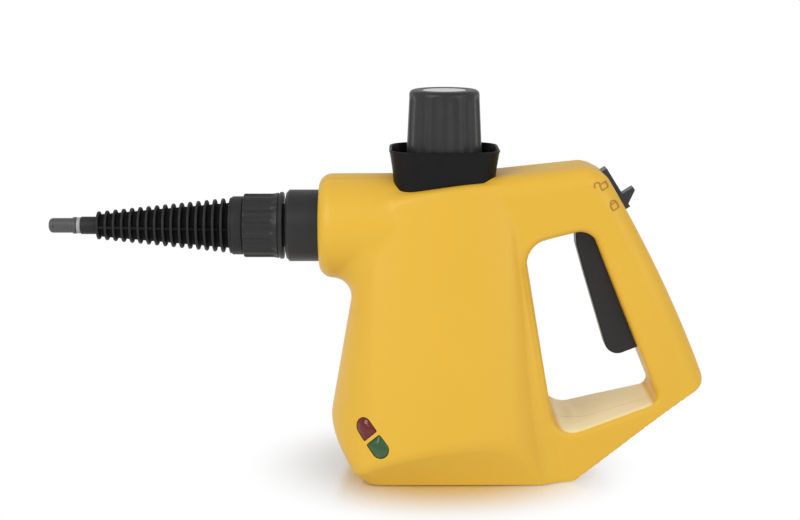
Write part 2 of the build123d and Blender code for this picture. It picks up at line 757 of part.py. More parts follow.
lid_z = boiler_split_z + boiler_gasket_height
pipe_x = station(pipe_station)
with BuildPart() as boiler_top:
    with BuildSketch(Plane.XZ):
        with BuildLine():
            Polyline(
                (cap_x, boiler_top_z), (cap_x + boiler_radius, boiler_top_z),
                (cap_x + boiler_radius, lid_z + boiler_flange_height),
                (cap_x + boiler_flange, lid_z + boiler_flange_height), (cap_x + boiler_flange, lid_z),
                (cap_x + boiler_radius - boiler_wall, lid_z),
                (cap_x + boiler_radius - boiler_wall, boiler_top_z - boiler_wall),
                (cap_x, boiler_top_z - boiler_wall), close=True)
        make_face()
    revolve(axis=upright)
    fillet(boiler_top.edges().filter_by_position(Axis.Z, boiler_top_z - fine, boiler_top_z + fine),
           radius=boiler_dome_round)
    with Locations((cap_x, 0, boiler_split_z)):
        with PolarLocations(boiler_screw_ring, boiler_screws_count):
            Cylinder(boiler_screw_radius, 2 * boiler_split_z, mode=Mode.SUBTRACT)
        Cylinder(neck_bore, 2 * boiler_split_z, mode=Mode.SUBTRACT)
    with Locations((pipe_x, 0, boiler_top_z)):
        Cylinder(pipe_bore, 4 * boiler_wall, mode=Mode.SUBTRACT)
boiler_top.part.label = "boiler_top"
export_step(boiler_top.part, "parts/boiler_top.step")

screw_top_z = lid_z + boiler_flange_height
screw_low_z = boiler_split_z - boiler_flange_height - boiler_screw_grip
with BuildPart() as boiler_screws:
    with Locations((cap_x, 0, screw_top_z)):
        with PolarLocations(boiler_screw_ring, boiler_screws_count):
            Cylinder(boiler_screw_radius, screw_top_z - screw_low_z, align=hanging)
            Cylinder(boiler_screw_head, boiler_screw_head_height, align=standing)
boiler_screws.part.label = "boiler_screws"
export_step(boiler_screws.part, "parts/boiler_screws.step")

with BuildPart() as boiler_bracket:
    with BuildSketch(Plane.XY.offset(boiler_floor_z - bracket_height)):
        with Locations((cap_x, 0)):
            Circle(bracket_outer)
            Circle(bracket_inner, mode=Mode.SUBTRACT)
    extrude(amount=bracket_height)
    with Locations((cap_x, 0, wall)):
        with PolarLocations(bracket_leg_ring, bracket_legs, start_angle=180 / bracket_legs):
            Cylinder(bracket_leg_radius, boiler_floor_z - wall, align=standing)
boiler_bracket.part.label = "boiler_bracket"
export_step(boiler_bracket.part, "parts/boiler_bracket.step")

element_z = boiler_floor_z + boiler_wall + element_rise
with BuildPart() as heating_element:
    with Locations((cap_x, 0, element_z)):
        Torus(element_ring, element_tube)
        with Locations((element_ring, 0), (-element_ring, 0)):
            Cylinder(element_terminal, element_leg, align=hanging)
heating_element.part.label = "heating_element"
export_step(heating_element.part, "parts/heating_element.step")

with BuildPart() as thermostat:
    with Locations((cap_x, thermostat_offset, boiler_top_z)):
        Cylinder(thermostat_radius, thermostat_height, align=standing)
    chamfer(thermostat.edges().sort_by(Axis.Z)[-1], length=fine)
thermostat.part.label = "thermostat"
export_step(thermostat.part, "parts/thermostat.step")

with BuildPart() as thermal_fuse:
    with Locations(Location((cap_x, -thermostat_offset, boiler_top_z + fuse_radius), (0, 90, 0))):
        Cylinder(fuse_radius, fuse_length)
thermal_fuse.part.label = "thermal_fuse"
export_step(thermal_fuse.part, "parts/thermal_fuse.step")

# Steam path: boiler, pipe, solenoid valve, outlet
valve_x = station(valve_station) + valve_length / 2
valve_top_z = nozzle_axis_z + valve_height / 2
with BuildPart() as steam_pipe:
    with BuildLine():
        pipe_path = FilletPolyline(
            (pipe_x, 0, boiler_top_z), (pipe_x, 0, nozzle_axis_z),
            (station(valve_station) + valve_length, 0, nozzle_axis_z),
            radius=pipe_bend)
    with BuildSketch(Plane(origin=pipe_path @ 0, z_dir=pipe_path % 0)):
        Circle(pipe_radius)
        Circle(pipe_bore, mode=Mode.SUBTRACT)
    sweep(path=pipe_path)
steam_pipe.part.label = "steam_pipe"
export_step(steam_pipe.part, "parts/steam_pipe.step")

seat_z = nozzle_axis_z + valve_seat_rise
with BuildPart() as valve_body:
    with Locations((valve_x, 0, nozzle_axis_z)):
        Box(valve_length, valve_width, valve_height)
    fillet(valve_body.edges().filter_by(Axis.Z), radius=fine)
    with Locations(Location((valve_x, 0, nozzle_axis_z), (0, 90, 0))):
        Cylinder(pipe_bore, 2 * valve_length, mode=Mode.SUBTRACT)
    with Locations((valve_x, 0, seat_z)):
        Cylinder(plunger_radius + running, valve_height, align=standing,
                 mode=Mode.SUBTRACT)
        Cylinder(pipe_bore / 2, valve_seat_rise, align=hanging, mode=Mode.SUBTRACT)
valve_body.part.label = "valve_body"
export_step(valve_body.part, "parts/valve_body.step")

spring_top_z = seat_z + gap + plunger_length + plunger_travel + valve_spring_height
with BuildPart() as valve_coil:
    with Locations((valve_x, 0, valve_top_z)):
        Cylinder(coil_radius, coil_height, align=standing)
        Cylinder(plunger_radius + running, spring_top_z - valve_top_z, align=standing,
                 mode=Mode.SUBTRACT)
valve_coil.part.label = "valve_coil"
export_step(valve_coil.part, "parts/valve_coil.step")

with BuildPart() as valve_plunger:
    with Locations((valve_x, 0, seat_z + gap)):
        Cylinder(plunger_radius, plunger_length, align=standing)
valve_plunger.part.label = "valve_plunger"
export_step(valve_plunger.part, "parts/valve_plunger.step")

with BuildPart() as valve_spring:
    with Locations((valve_x, 0, spring_top_z)):
        Cylinder(plunger_radius - gap, valve_spring_height + plunger_travel,
                 align=hanging)
        Cylinder(plunger_radius - gap - wire, 4 * valve_spring_height, mode=Mode.SUBTRACT)
valve_spring.part.label = "valve_spring"
export_step(valve_spring.part, "parts/valve_spring.step")

outlet_end = -outlet_collar_length + 2.0 * over
with BuildPart() as outlet_pipe:
    with BuildSketch(Plane.YZ.offset(station(outlet_end))):
        with Locations((0, nozzle_axis_z)):
            Circle(outlet_pipe_radius)
            Circle(pipe_bore, mode=Mode.SUBTRACT)
    extrude(amount=valve_station - outlet_end)
outlet_pipe.part.label = "outlet_pipe"
export_step(outlet_pipe.part, "parts/outlet_pipe.step")

# Nozzle: outlet collar on the hub, then the pieces that come off as one
with BuildPart() as outlet_collar:
    with BuildSketch(Plane.XZ):
        with BuildLine():
            Polyline(
                (station(-outlet_collar_length), nozzle_axis_z + spigot_shoulder + running),
                (station(-outlet_collar_length), nozzle_axis_z + outlet_collar_nose),
                (station(outlet_collar_chamfer - outlet_collar_length), nozzle_axis_z + outlet_collar_radius),
                (station(wall + gap), nozzle_axis_z + outlet_collar_radius),
                (station(wall + gap), nozzle_axis_z + outlet_flange_radius),
                (station(wall + gap + outlet_flange_height), nozzle_axis_z + outlet_flange_radius),
                (station(wall + gap + outlet_flange_height), nozzle_axis_z + outlet_collar_radius),
                (station(outlet_collar_sunk), nozzle_axis_z + outlet_collar_radius),
                (station(outlet_collar_sunk), nozzle_axis_z + outlet_bore),
                (station(outlet_lip - outlet_collar_length), nozzle_axis_z + outlet_bore),
                (station(outlet_lip - outlet_collar_length), nozzle_axis_z + spigot_shoulder + running),
                close=True)
        make_face()
    revolve(axis=nozzle_line)
outlet_collar.part.label = "outlet_collar"
export_step(outlet_collar.part, "parts/outlet_collar.step")

grip_front = -outlet_collar_length - grip_gap - grip_length
grip_rear = grip_front + grip_length
groove_front = grip_rear - grip_band - grip_groove
grip_tail = grip_band + grip_groove + grip_flare
with BuildPart() as grip_ring:
    with BuildSketch(Plane.XZ):
        with BuildLine():
            Polyline(
                (station(grip_front), nozzle_axis_z + grip_bore),
                (station(grip_front), nozzle_axis_z + grip_radius - fine),
                (station(grip_front + fine), nozzle_axis_z + grip_radius),
                (station(grip_rear - grip_tail), nozzle_axis_z + grip_radius),
                (station(groove_front), nozzle_axis_z + grip_flare_radius),
                (station(groove_front), nozzle_axis_z + grip_flare_radius - grip_groove_depth),
                (station(grip_rear - grip_band), nozzle_axis_z + grip_flare_radius - grip_groove_depth),
                (station(grip_rear - grip_band), nozzle_axis_z + grip_band_radius),
                (station(grip_rear - fine), nozzle_axis_z + grip_band_radius),
                (station(grip_rear), nozzle_axis_z + grip_band_radius - fine),
                (station(grip_rear), nozzle_axis_z + grip_bore), close=True)
        make_face()
    revolve(axis=nozzle_line)
    with BuildSketch(Plane.YZ.offset(station(grip_front + 2 * over))):
        with Locations((0, nozzle_axis_z)):
            with PolarLocations(grip_radius + grip_flute_radius - grip_flute_depth, grip_flutes):
                Circle(grip_flute_radius)
    extrude(amount=grip_length - grip_tail - 4 * over, mode=Mode.SUBTRACT)
grip_ring.part.label = "grip_ring"
export_step(grip_ring.part, "parts/grip_ring.step")

cone_rear = grip_front
rib_rear = cone_rear - cone_flange_length
rib_front = rib_rear - cone_length
cone_front = rib_front - sleeve_length
rib_pitch = (cone_length - rib_width) / (rib_count - 1)
spigot_end = spigot_length - outlet_collar_length
fin_front = core_front_radius + (rib_front_radius - core_front_radius) * fin_share
fin_rear = core_rear_radius + (rib_rear_radius - core_rear_radius) * fin_share
comb = []
for index in range(rib_count):
    start_x = rib_front + index * rib_pitch
    rise = index / (rib_count - 1)
    rib = rib_front_radius + (rib_rear_radius - rib_front_radius) * rise
    core_near = core_front_radius + (core_rear_radius - core_front_radius) * rise
    core_far = core_near + (core_rear_radius - core_front_radius) * rib_width / cone_length
    comb.append((station(start_x), nozzle_axis_z + core_near))
    comb.append((station(start_x), nozzle_axis_z + rib))
    comb.append((station(start_x + rib_width), nozzle_axis_z + rib))
    comb.append((station(start_x + rib_width), nozzle_axis_z + core_far))
with BuildPart() as nozzle_cone:
    with BuildSketch(Plane.XZ):
        with BuildLine():
            Polyline(
                (station(cone_front), nozzle_axis_z + nozzle_bore),
                (station(cone_front), nozzle_axis_z + nozzle_end_radius),
                (station(rib_front), nozzle_axis_z + nozzle_end_radius), *comb[:-1],
                (station(rib_rear), nozzle_axis_z + cone_flange_radius),
                (station(cone_rear - gap), nozzle_axis_z + cone_flange_radius),
                (station(cone_rear - gap), nozzle_axis_z + grip_bore - running),
                (station(-outlet_collar_length - gap), nozzle_axis_z + grip_bore - running),
                (station(-outlet_collar_length - gap), nozzle_axis_z + spigot_shoulder),
                (station(spigot_end), nozzle_axis_z + spigot_shoulder),
                (station(spigot_end), nozzle_axis_z + outlet_pipe_radius + running),
                (station(outlet_end - gap), nozzle_axis_z + outlet_pipe_radius + running),
                (station(outlet_end - gap), nozzle_axis_z + nozzle_bore), close=True)
        make_face()
    revolve(axis=nozzle_line)
    with BuildSketch(Plane.XY.offset(nozzle_axis_z - fin_width / 2)):
        for side in (-1, 1):
            with BuildLine():
                Polyline(
                    (station(rib_front), side * nozzle_end_radius * fin_share),
                    (station(rib_front), side * fin_front), (station(rib_rear), side * fin_rear),
                    (station(rib_rear), side * core_rear_radius * fin_share), close=True)
            make_face()
    extrude(amount=fin_width)
    with Locations(Location((station(rib_front), 0, nozzle_axis_z), (0, 90, 0))):
        Cylinder(nozzle_bore, 2 * cone_length, mode=Mode.SUBTRACT)
nozzle_cone.part.label = "nozzle_cone"
export_step(nozzle_cone.part, "parts/nozzle_cone.step")

with BuildPart() as tip_ring:
    with BuildSketch(Plane.YZ.offset(station(cone_front - tip_ring_length))):
        with Locations((0, nozzle_axis_z)):
            Circle(tip_ring_radius)
            Circle(nozzle_bore, mode=Mode.SUBTRACT)
    extrude(amount=tip_ring_length)
tip_ring.part.label = "tip_ring"
export_step(tip_ring.part, "parts/tip_ring.step")

tip_rear = cone_front - tip_ring_length - gap
tip_front = cone_front - tip_ring_length - tip_step_length - tip_length
with BuildPart() as tip_nozzle:
    with BuildSketch(Plane.XZ):
        with BuildLine():
            Polyline(
                (station(tip_front), nozzle_axis_z), (station(tip_front), nozzle_axis_z + tip_radius),
                (station(tip_rear - tip_step_length), nozzle_axis_z + tip_radius),
                (station(tip_rear - tip_step_length), nozzle_axis_z + tip_step_radius),
                (station(tip_rear), nozzle_axis_z + tip_step_radius),
                (station(tip_rear), nozzle_axis_z + nozzle_bore - running),
                (station(tip_rear + tip_stem_length), nozzle_axis_z + nozzle_bore - running),
                (station(tip_rear + tip_stem_length), nozzle_axis_z), close=True)
        make_face()
    revolve(axis=nozzle_line)
    fillet(tip_nozzle.edges().sort_by(Axis.X)[0], radius=tip_nose)
    with Locations(Location((station(tip_front), 0, nozzle_axis_z), (0, 90, 0))):
        Cylinder(tip_bore, 4 * tip_length, mode=Mode.SUBTRACT)
    for side in (-1, 1):
        with Locations((station(tip_front + tip_nose), side * tip_radius, nozzle_axis_z)):
            Box(tip_length - 2 * tip_nose, 2 * tip_flat, 2 * tip_radius,
                align=(Align.MIN, Align.CENTER, Align.CENTER), mode=Mode.SUBTRACT)
tip_nozzle.part.label = "tip_nozzle"
export_step(tip_nozzle.part, "parts/tip_nozzle.step")

# Trigger with its pin and spring, and the switch it presses
front_wall = trigger_wall / sin(grip_lean)
hollow_back = trigger_outline[7][0] + (trigger_outline[7][1] - trigger_outline[2][1]) / tan(grip_lean) + over
with BuildPart() as trigger:
    with BuildSketch(Plane.XZ.offset(-trigger_width / 2)) as lever:
        with BuildLine():
            Polyline(*trigger_outline, close=True)
        make_face()
        for corner, share in trigger_round_shares:
            fillet(nearest_vertex(lever, trigger_outline[corner]), radius=share * trigger_round)
    extrude(amount=trigger_width, dir=(0, -1, 0))
    rim = [e for e in trigger.edges() if abs(abs(e.center().Y) - trigger_width / 2) < tiny
           and e.center().X < trigger_outline[4][0] and e.center().Z < trigger_outline[1][1]]
    fillet(rim, radius=trigger_edge)
    with BuildSketch(Plane.XZ.offset(trigger_wall - trigger_width / 2)):
        with BuildLine():
            Polyline(
                (trigger_outline[2][0] + 2 * front_wall, trigger_outline[2][1]),
                (trigger_outline[3][0] + 2 * front_wall, trigger_outline[3][1]),
                (trigger_outline[5][0], trigger_outline[5][1] + front_wall),
                (trigger_outline[6][0] + over, trigger_outline[6][1] + front_wall),
                (hollow_back, trigger_outline[2][1]), close=True)
        make_face()
    extrude(amount=trigger_width - 2 * trigger_wall, dir=(0, -1, 0), mode=Mode.SUBTRACT)
    with Locations(Location((pivot[0], 0, pivot[1]), (90, 0, 0))):
        Cylinder(trigger_boss_radius, trigger_width)
        Cylinder(trigger_pin_radius + running, 2 * trigger_width, mode=Mode.SUBTRACT)
trigger.part.label = "trigger"
export_step(trigger.part, "parts/trigger.step")

with BuildPart() as trigger_pin:
    with Locations(Location((pivot[0], 0, pivot[1]), (90, 0, 0))):
        Cylinder(trigger_pin_radius, 2 * trigger_pin_half - 2 * gap)
trigger_pin.part.label = "trigger_pin"
export_step(trigger_pin.part, "parts/trigger_pin.step")

with BuildPart() as switch_button:
    with Locations(switch_plane.offset(button_gap)):
        Box(button_width, button_width, button_length, align=standing)
switch_button.part.label = "switch_button"
export_step(switch_button.part, "parts/switch_button.step")

with BuildPart() as microswitch:
    with Locations(switch_plane.offset(button_reach)):
        Box(switch_width, switch_height, switch_length, align=standing)
    fillet(microswitch.edges().filter_by(Axis.Y), radius=fine)
    with Locations(switch_plane.offset(button_reach)):
        Box(button_width + 2 * running, button_width + 2 * running, 2 * button_length, mode=Mode.SUBTRACT)
microswitch.part.label = "microswitch"
export_step(microswitch.part, "parts/microswitch.step")

# Sliding lock on the back of the handle
with BuildPart() as lock_track:
    with BuildSketch(lock_plane.offset(-over)):
        Rectangle(lock_track_length, lock_track_width)
    extrude(amount=lock_track_proud + over)
    fillet(lock_track.edges().filter_by(Axis(lock_plane.origin, lock_plane.z_dir)), radius=fine)
    with BuildSketch(lock_plane.offset(lock_floor)):
        Rectangle(lock_track_length - lock_bar_height, lock_channel)
    extrude(amount=lock_track_proud, mode=Mode.SUBTRACT)
    add(outer_form, mode=Mode.SUBTRACT)
    with BuildSketch(lock_plane.offset(-wall)):
        Rectangle(lock_spigot_length, lock_spigot_width)
    extrude(amount=wall + lock_floor)
    with BuildSketch(lock_plane.offset(-2 * wall)):
        Rectangle(lock_stem_length + lock_travel + 2 * over, lock_slot_width)
    extrude(amount=4 * wall, mode=Mode.SUBTRACT)
lock_track.part.label = "lock_track"
export_step(lock_track.part, "parts/lock_track.step")

hook_low = -lock_rest - lock_plate_length / 2
hook_plane = Plane(origin=lock_plane.origin, x_dir=lock_up, z_dir=(0, 1, 0))
with BuildPart() as lock_knob:
    with BuildSketch(lock_plane.offset(lock_floor + gap)):
        with Locations((-lock_rest, 0)):
            Rectangle(lock_plate_length, lock_channel - 2 * gap)
    extrude(amount=lock_track_proud - lock_floor - gap)
    with BuildSketch(hook_plane.offset(-lock_hook_width / 2)):
        with BuildLine():
            Polyline(
                (hook_low, lock_track_proud - fine), (hook_low + lock_hook_foot, lock_track_proud - fine),
                (hook_low + lock_hook_foot, lock_hook_height),
                (hook_low + lock_hook_foot - lock_hook_thick, lock_hook_height), close=True)
        make_face()
    extrude(amount=lock_hook_width)
lock_knob.part.label = "lock_knob"
export_step(lock_knob.part, "parts/lock_knob.step")

with BuildPart() as lock_bar:
    with BuildSketch(lock_plane.offset(-wall - 2 * gap - lock_bar_height)):
        with Locations((-lock_rest, 0)):
            Rectangle(lock_bar_length, lock_bar_width)
    extrude(amount=lock_bar_height)
    with BuildSketch(lock_plane.offset(-wall - 2 * gap)):
        with Locations((-lock_rest, 0)):
            Rectangle(lock_stem_length, lock_slot_width - 2 * gap)
    extrude(amount=wall + lock_floor + 3 * gap)
lock_bar.part.label = "lock_bar"
export_step(lock_bar.part, "parts/lock_bar.step")

with BuildPart() as trigger_spring:
    add(coil_spring(trigger_spring_radius, trigger_spring_length, spring_turns + 2).moved(seat_plane.location))
trigger_spring.part.label = "trigger_spring"
export_step(trigger_spring.part, "parts/trigger_spring.step")

# Indicator lamps behind their lenses on the near side
lens_skin = body_form(lens_recess)
with BuildPart() as red_lens:
    with BuildSketch(lens_plane.offset(over)):
        draw_lens(-1, 0)
    extrude(amount=-lens_depth - over)
    add(lens_skin, mode=Mode.INTERSECT)
red_lens.part.label = "red_lens"
export_step(red_lens.part, "parts/red_lens.step")

with BuildPart() as green_lens:
    with BuildSketch(lens_plane.offset(over)):
        draw_lens(1, 0)
    extrude(amount=-lens_depth - over)
    add(lens_skin, mode=Mode.INTERSECT)
green_lens.part.label = "green_lens"
export_step(green_lens.part, "parts/green_lens.step")

with BuildPart() as lamp_holder:
    with BuildSketch(lens_plane.offset(-2 * lens_depth - lamp_holder_height)):
        Rectangle(lamp_holder_length, lamp_holder_width)
    extrude(amount=lamp_holder_height)
    fillet(lamp_holder.edges().filter_by(Axis(lens_plane.origin, lens_plane.z_dir)), radius=over)
lamp_holder.part.label = "lamp_holder"
export_step(lamp_holder.part, "parts/lamp_holder.step")

lamp_spread = (lens_gap + lens_length) / 2
with BuildPart() as red_lamp:
    with BuildSketch(lens_plane.offset(-2 * lens_depth)):
        with Locations((-lamp_spread, 0)):
            Circle(lamp_radius)
    extrude(amount=lamp_length)
red_lamp.part.label = "red_lamp"
export_step(red_lamp.part, "parts/red_lamp.step")

with BuildPart() as green_lamp:
    with BuildSketch(lens_plane.offset(-2 * lens_depth)):
        with Locations((lamp_spread, 0)):
            Circle(lamp_radius)
    extrude(amount=lamp_length)
green_lamp.part.label = "green_lamp"
export_step(green_lamp.part, "parts/green_lamp.step")

# Feet, screws, terminal block and the cord's inlet
with BuildPart() as base_feet:
    with Locations(*[(x, y, 0) for x, y in foot_spots]):
        Cylinder(foot_radius, foot_height, align=standing)
base_feet.part.label = "base_feet"
export_step(base_feet.part, "parts/base_feet.step")

with BuildPart() as housing_screws:
    for share in screw_shares:
        spot = side_point(*share)
        with Locations(Location((spot[0], parting_y + screw_seat, spot[1]), (-90, 0, 0))):
            Cylinder(screw_head_radius, screw_head_height, align=standing)
            Cylinder(screw_radius, screw_seat + screw_thread - gap, align=hanging)
housing_screws.part.label = "housing_screws"
export_step(housing_screws.part, "parts/housing_screws.step")

with BuildPart() as terminal_block:
    with Locations((station(terminal_station), 0, wall)):
        Box(terminal_width, terminal_length, terminal_height, align=standing)
    fillet(terminal_block.edges().filter_by(Axis.Z), radius=over)
    with Locations((station(terminal_station), 0, terminal_height)):
        with GridLocations(terminal_width / 2, terminal_length / 3, 2, 3):
            Cylinder(screw_radius, terminal_height, mode=Mode.SUBTRACT)
terminal_block.part.label = "terminal_block"
export_step(terminal_block.part, "parts/terminal_block.step")

with BuildPart() as cord_gland:
    with BuildSketch(inlet_plane):
        Circle(gland_flange)
    extrude(amount=gland_flange_height)
    fillet(cord_gland.edges().sort_by(Axis(inlet_plane.origin, inlet_plane.z_dir))[-1], radius=over)
    with BuildSketch(inlet_plane):
        Circle(gland_radius)
    extrude(amount=-gland_length)
    with BuildSketch(inlet_plane.offset(gland_flange_height + over)):
        Circle(cord_bore)
    extrude(amount=-gland_length - gland_flange_height - 2 * over, mode=Mode.SUBTRACT)
cord_gland.part.label = "cord_gland"
export_step(cord_gland.part, "parts/cord_gland.step")

with BuildPart() as cord_clamp:
    with BuildSketch(clamp_plane):
        Rectangle(clamp_length, clamp_width)
    extrude(amount=clamp_height)
    fillet(cord_clamp.edges().filter_by(Axis(clamp_plane.origin, clamp_plane.z_dir)), radius=over)
cord_clamp.part.label = "cord_clamp"
export_step(cord_clamp.part, "parts/cord_clamp.step")
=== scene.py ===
import json
from math import atan2, cos, hypot, pi, radians, sin, tan

import bmesh
import bpy
import numpy as np
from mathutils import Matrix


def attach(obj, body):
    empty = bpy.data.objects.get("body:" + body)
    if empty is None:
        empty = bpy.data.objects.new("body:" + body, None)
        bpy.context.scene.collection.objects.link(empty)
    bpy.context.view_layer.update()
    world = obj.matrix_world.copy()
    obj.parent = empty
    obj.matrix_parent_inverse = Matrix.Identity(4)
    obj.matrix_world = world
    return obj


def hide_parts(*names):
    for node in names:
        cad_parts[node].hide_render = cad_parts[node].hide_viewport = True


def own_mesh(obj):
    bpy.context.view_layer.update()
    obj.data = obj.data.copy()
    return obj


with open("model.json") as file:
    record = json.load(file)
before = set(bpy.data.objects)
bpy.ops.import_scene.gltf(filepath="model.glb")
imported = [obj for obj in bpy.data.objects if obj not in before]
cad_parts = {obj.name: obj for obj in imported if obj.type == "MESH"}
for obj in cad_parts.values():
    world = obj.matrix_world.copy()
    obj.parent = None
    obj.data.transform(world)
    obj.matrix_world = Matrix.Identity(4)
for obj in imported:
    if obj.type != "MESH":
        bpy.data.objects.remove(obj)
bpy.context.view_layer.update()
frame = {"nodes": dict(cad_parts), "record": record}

import openvdb
from mathutils import Vector

# The view
# A long lens a little under a metre away, above the cleaner's cap, looks down at it by some
# eleven degrees. Sizes below are in millimetres, as in the drawings, and turn into metres last.
MM = 0.001
focal_length = 69.75
film_width = 36.0
view_place = (14.334, -911.652, 311.306)
view_drop = 11.4
camera_data = bpy.data.cameras.new("view")
camera_data.sensor_width = film_width
camera_data.lens = focal_length
camera = bpy.data.objects.new("view", camera_data)
camera.location = Vector(view_place) * MM
camera.rotation_euler = (radians(90.0 - view_drop), 0.0, 0.0)
bpy.context.scene.collection.objects.link(camera)
bpy.context.scene.camera = camera
bpy.context.scene.view_settings.view_transform = "Standard"

# The housing
# Two halves of satin yellow ABS, moulded with the hub, the boiler tower and the handle loop in
# one, and held together by five screws from the far side. They meet in a fine line on one plane.
yellow = (0.765, 0.455, 0.040)
yellow_shade = (0.69, 0.385, 0.028)
seam_brown = (0.30, 0.17, 0.02)
# painted sheen: a pale yellow that stands in for the reflection on the lower arm's top
painted_sheen_yellow = (1.0, 0.90, 0.56)
housing_length = 228.9
housing_height = 186.0
hub_face = -33.8
wall = 2.6
parting = -9.0
seam_width = 0.28

hub_radius = 31.0
hub_round = 8.0
hub_slope = 0.6
barrel_length = 107.0
barrel_sink = 5.0
nozzle_axis = 148.6

tower_front = 0.5
tower_length = 145.2
belly_share = 0.53
front_half = 43.5
belly_half = 61.0
rear_half = 45.0
plan_corner = 35.0
draft = 10.0
base_half = 42.0
base_lift = 0.3
undercut_front = 0.75
undercut_rear = 0.23
foot_front = 26.5
foot_lean = 51.1
base_corner = 9.0
undercut_round = 2.5
shoulder_round = 5.0
shoulder_ease = 2.2

loop_front = 97.5
loop_half_front = 28.2
loop_half_rear = 20.5
loop_round = 11.0
opening_edge = 3.6
apex_round = 16.0
back_top_round = 11.4
heel_round = 8.0
underside_start = 151.2
underside_ease = 1.0
skirt = 14.0
skirt_run = 0.41
heel_rise = 11.2
heel_run = 0.38
arm_blend = 22.0
arm_flare = 10.5
arm_flare_run = (190.0, 104.0)
arm_flare_rise = (150.0, 30.0)
hub_blend = 14.0
arm_fade = 2.0
hub_fade = 2.5
fade_start = 2.0
blend_least = 0.01

top_start = (0.426, 0.965)
apex = (0.690, 1.002)
back_top = (0.737, 0.973)
back_middle = (0.861, 0.704)
heel = (1.008, 0.3005)
shoulder = ((0.116, 0.817), (0.155, 0.868), (0.201, 0.917), (0.308, 0.942), (0.448, 0.960), (0.72, 0.960))
opening = ((0.5245, 0.758), (0.699, 0.809), (0.887, 0.247), (0.612, 0.145))
opening_rounds = (0.08, 0.06, 0.03, 0.07)
screw_spots = ((0.095, 0.323), (0.541, 0.376), (0.672, 0.129), (0.943, 0.323), (0.576, 0.882))
screw_well = 3.6
screw_boss = 5.2
screw_seat = 6.0


class Val:
    """A socket of a material's nodes that takes part in sums like a number."""

    def __init__(self, tree, socket=None):
        self.tree = tree
        self.socket = socket

    def node(self, kind, settings, values, out=0):
        """A new node in the same tree: its settings first, then its sockets' values or links."""
        made = self.tree.nodes.new(kind)
        for name, value in settings.items():
            setattr(made, name, value)
        for name, value in values.items():
            if isinstance(value, Val):
                self.tree.links.new(value.socket, made.inputs[name])
            else:
                made.inputs[name].default_value = value
        return Val(self.tree, made.outputs[out])

    def sum(self, operation, *values):
        return self.node("ShaderNodeMath", {"operation": operation}, dict(enumerate(values)))

    def __add__(self, other):
        return self.sum("ADD", self, other)

    def __sub__(self, other):
        return self.sum("SUBTRACT", self, other)

    def __rsub__(self, other):
        return self.sum("SUBTRACT", other, self)

    def __mul__(self, other):
        return self.sum("MULTIPLY", self, other)

    def __truediv__(self, other):
        return self.sum("DIVIDE", self, other)

    def __rtruediv__(self, other):
        return self.sum("DIVIDE", other, self)

    def __abs__(self):
        return self.sum("ABSOLUTE", self)

    def __gt__(self, other):
        return self.sum("GREATER_THAN", self, other)

    def __lt__(self, other):
        return self.sum("LESS_THAN", self, other)

    __radd__ = __add__
    __rmul__ = __mul__


class Finish:
    """One material of the cleaner: a shader, and short ways to add the nodes that feed it."""

    def __init__(self, name, colour, roughness, **plain):
        self.material = bpy.data.materials.new(name)
        self.material.use_nodes = True
        self.tree = self.material.node_tree
        self.shader = self.tree.nodes["Principled BSDF"]
        self.output = self.tree.nodes["Material Output"]
        start = Val(self.tree)
        self.node, self.sum = start.node, start.sum
        self.material.diffuse_color = (*colour, 1.0)
        self.set("Base Color", (*colour, 1.0))
        self.set("Roughness", roughness)
        for socket, value in plain.items():
            self.set(socket.replace("_", " "), value)

    def set(self, socket, value):
        if isinstance(value, Val):
            self.tree.links.new(value.socket, self.shader.inputs[socket])
        else:
            self.shader.inputs[socket].default_value = value

    def place(self, axis):
        whole = self.node("ShaderNodeTexCoord", {}, {}, out=3)
        return self.node("ShaderNodeSeparateXYZ", {}, {"Vector": whole}, out=axis)

    def noise(self, size, detail=3.0):
        """Soft noise from nought to one, its lumps about size millimetres across."""
        whole = self.node("ShaderNodeTexCoord", {}, {}, out=3)
        return self.node("ShaderNodeTexNoise", {}, {"Vector": whole, "Scale": 1.0 / (size * MM), "Detail": detail})

    def mix(self, share, first, second):
        first, second = (value if isinstance(value, Val) else (*value, 1.0) for value in (first, second))
        return self.node("ShaderNodeMix", {"data_type": "RGBA"}, {0: share, 6: first, 7: second}, out=2)

    def rising(self, value, low, high, top=1.0, **settings):
        """Nought up to low, top from high on, and even in between."""
        return self.node("ShaderNodeMapRange", settings, {0: value, 1: low, 2: high, 3: 0.0, 4: top})

    def mottled(self, colour, other, size, share=1.0, detail=3.0):
        """Two close shades, in soft patches of this size."""
        self.set("Base Color", self.mix(share * self.noise(size, detail), colour, other))

    def worn(self, least, more, size, rubbed=0.0, detail=4.0):
        """Uneven in patches of this size, and smoother by rubbed along outer edges."""
        uneven = least + more * self.noise(size, detail)
        self.set("Roughness", uneven - rubbed * self.edges() if rubbed else uneven)

    def grain(self, size, depth, strength=1.0):
        """Fine moulded grain: lumps of this size and depth in millimetres."""
        self.set("Normal", self.node("ShaderNodeBump", {}, {
            "Height": self.noise(size), "Distance": depth * MM, "Strength": strength}))

    def edges(self, low=0.52, high=0.60):
        """One along outer edges that hands and cloths rub, nought on flat faces."""
        return self.rising(self.node("ShaderNodeNewGeometry", {}, {}, out=7), low, high)


def station(distance):
    """X of a place at this distance behind the hub's front face."""
    return hub_face + distance


def side_point(shares):
    """A point of the side view, from shares of the housing's length and height."""
    return (hub_face + housing_length * shares[0], housing_height * shares[1])


def both(a, b, r):
    """What two forms have in common, with the edge where they meet rounded to r."""
    return np.minimum(np.maximum(a, b), -r) + np.hypot(np.maximum(a + r, 0.0), np.maximum(b + r, 0.0))


def either(a, b, r):
    """Two forms joined, with a hollow curve of radius r along the corner between them."""
    return -both(-a, -b, r)


def left_of(p, q, x, z):
    """How far a place lies to the left of the line from p to q, in the side view."""
    long, high = q[0] - p[0], q[1] - p[1]
    return ((z - p[1]) * long - (x - p[0]) * high) / hypot(long, high)


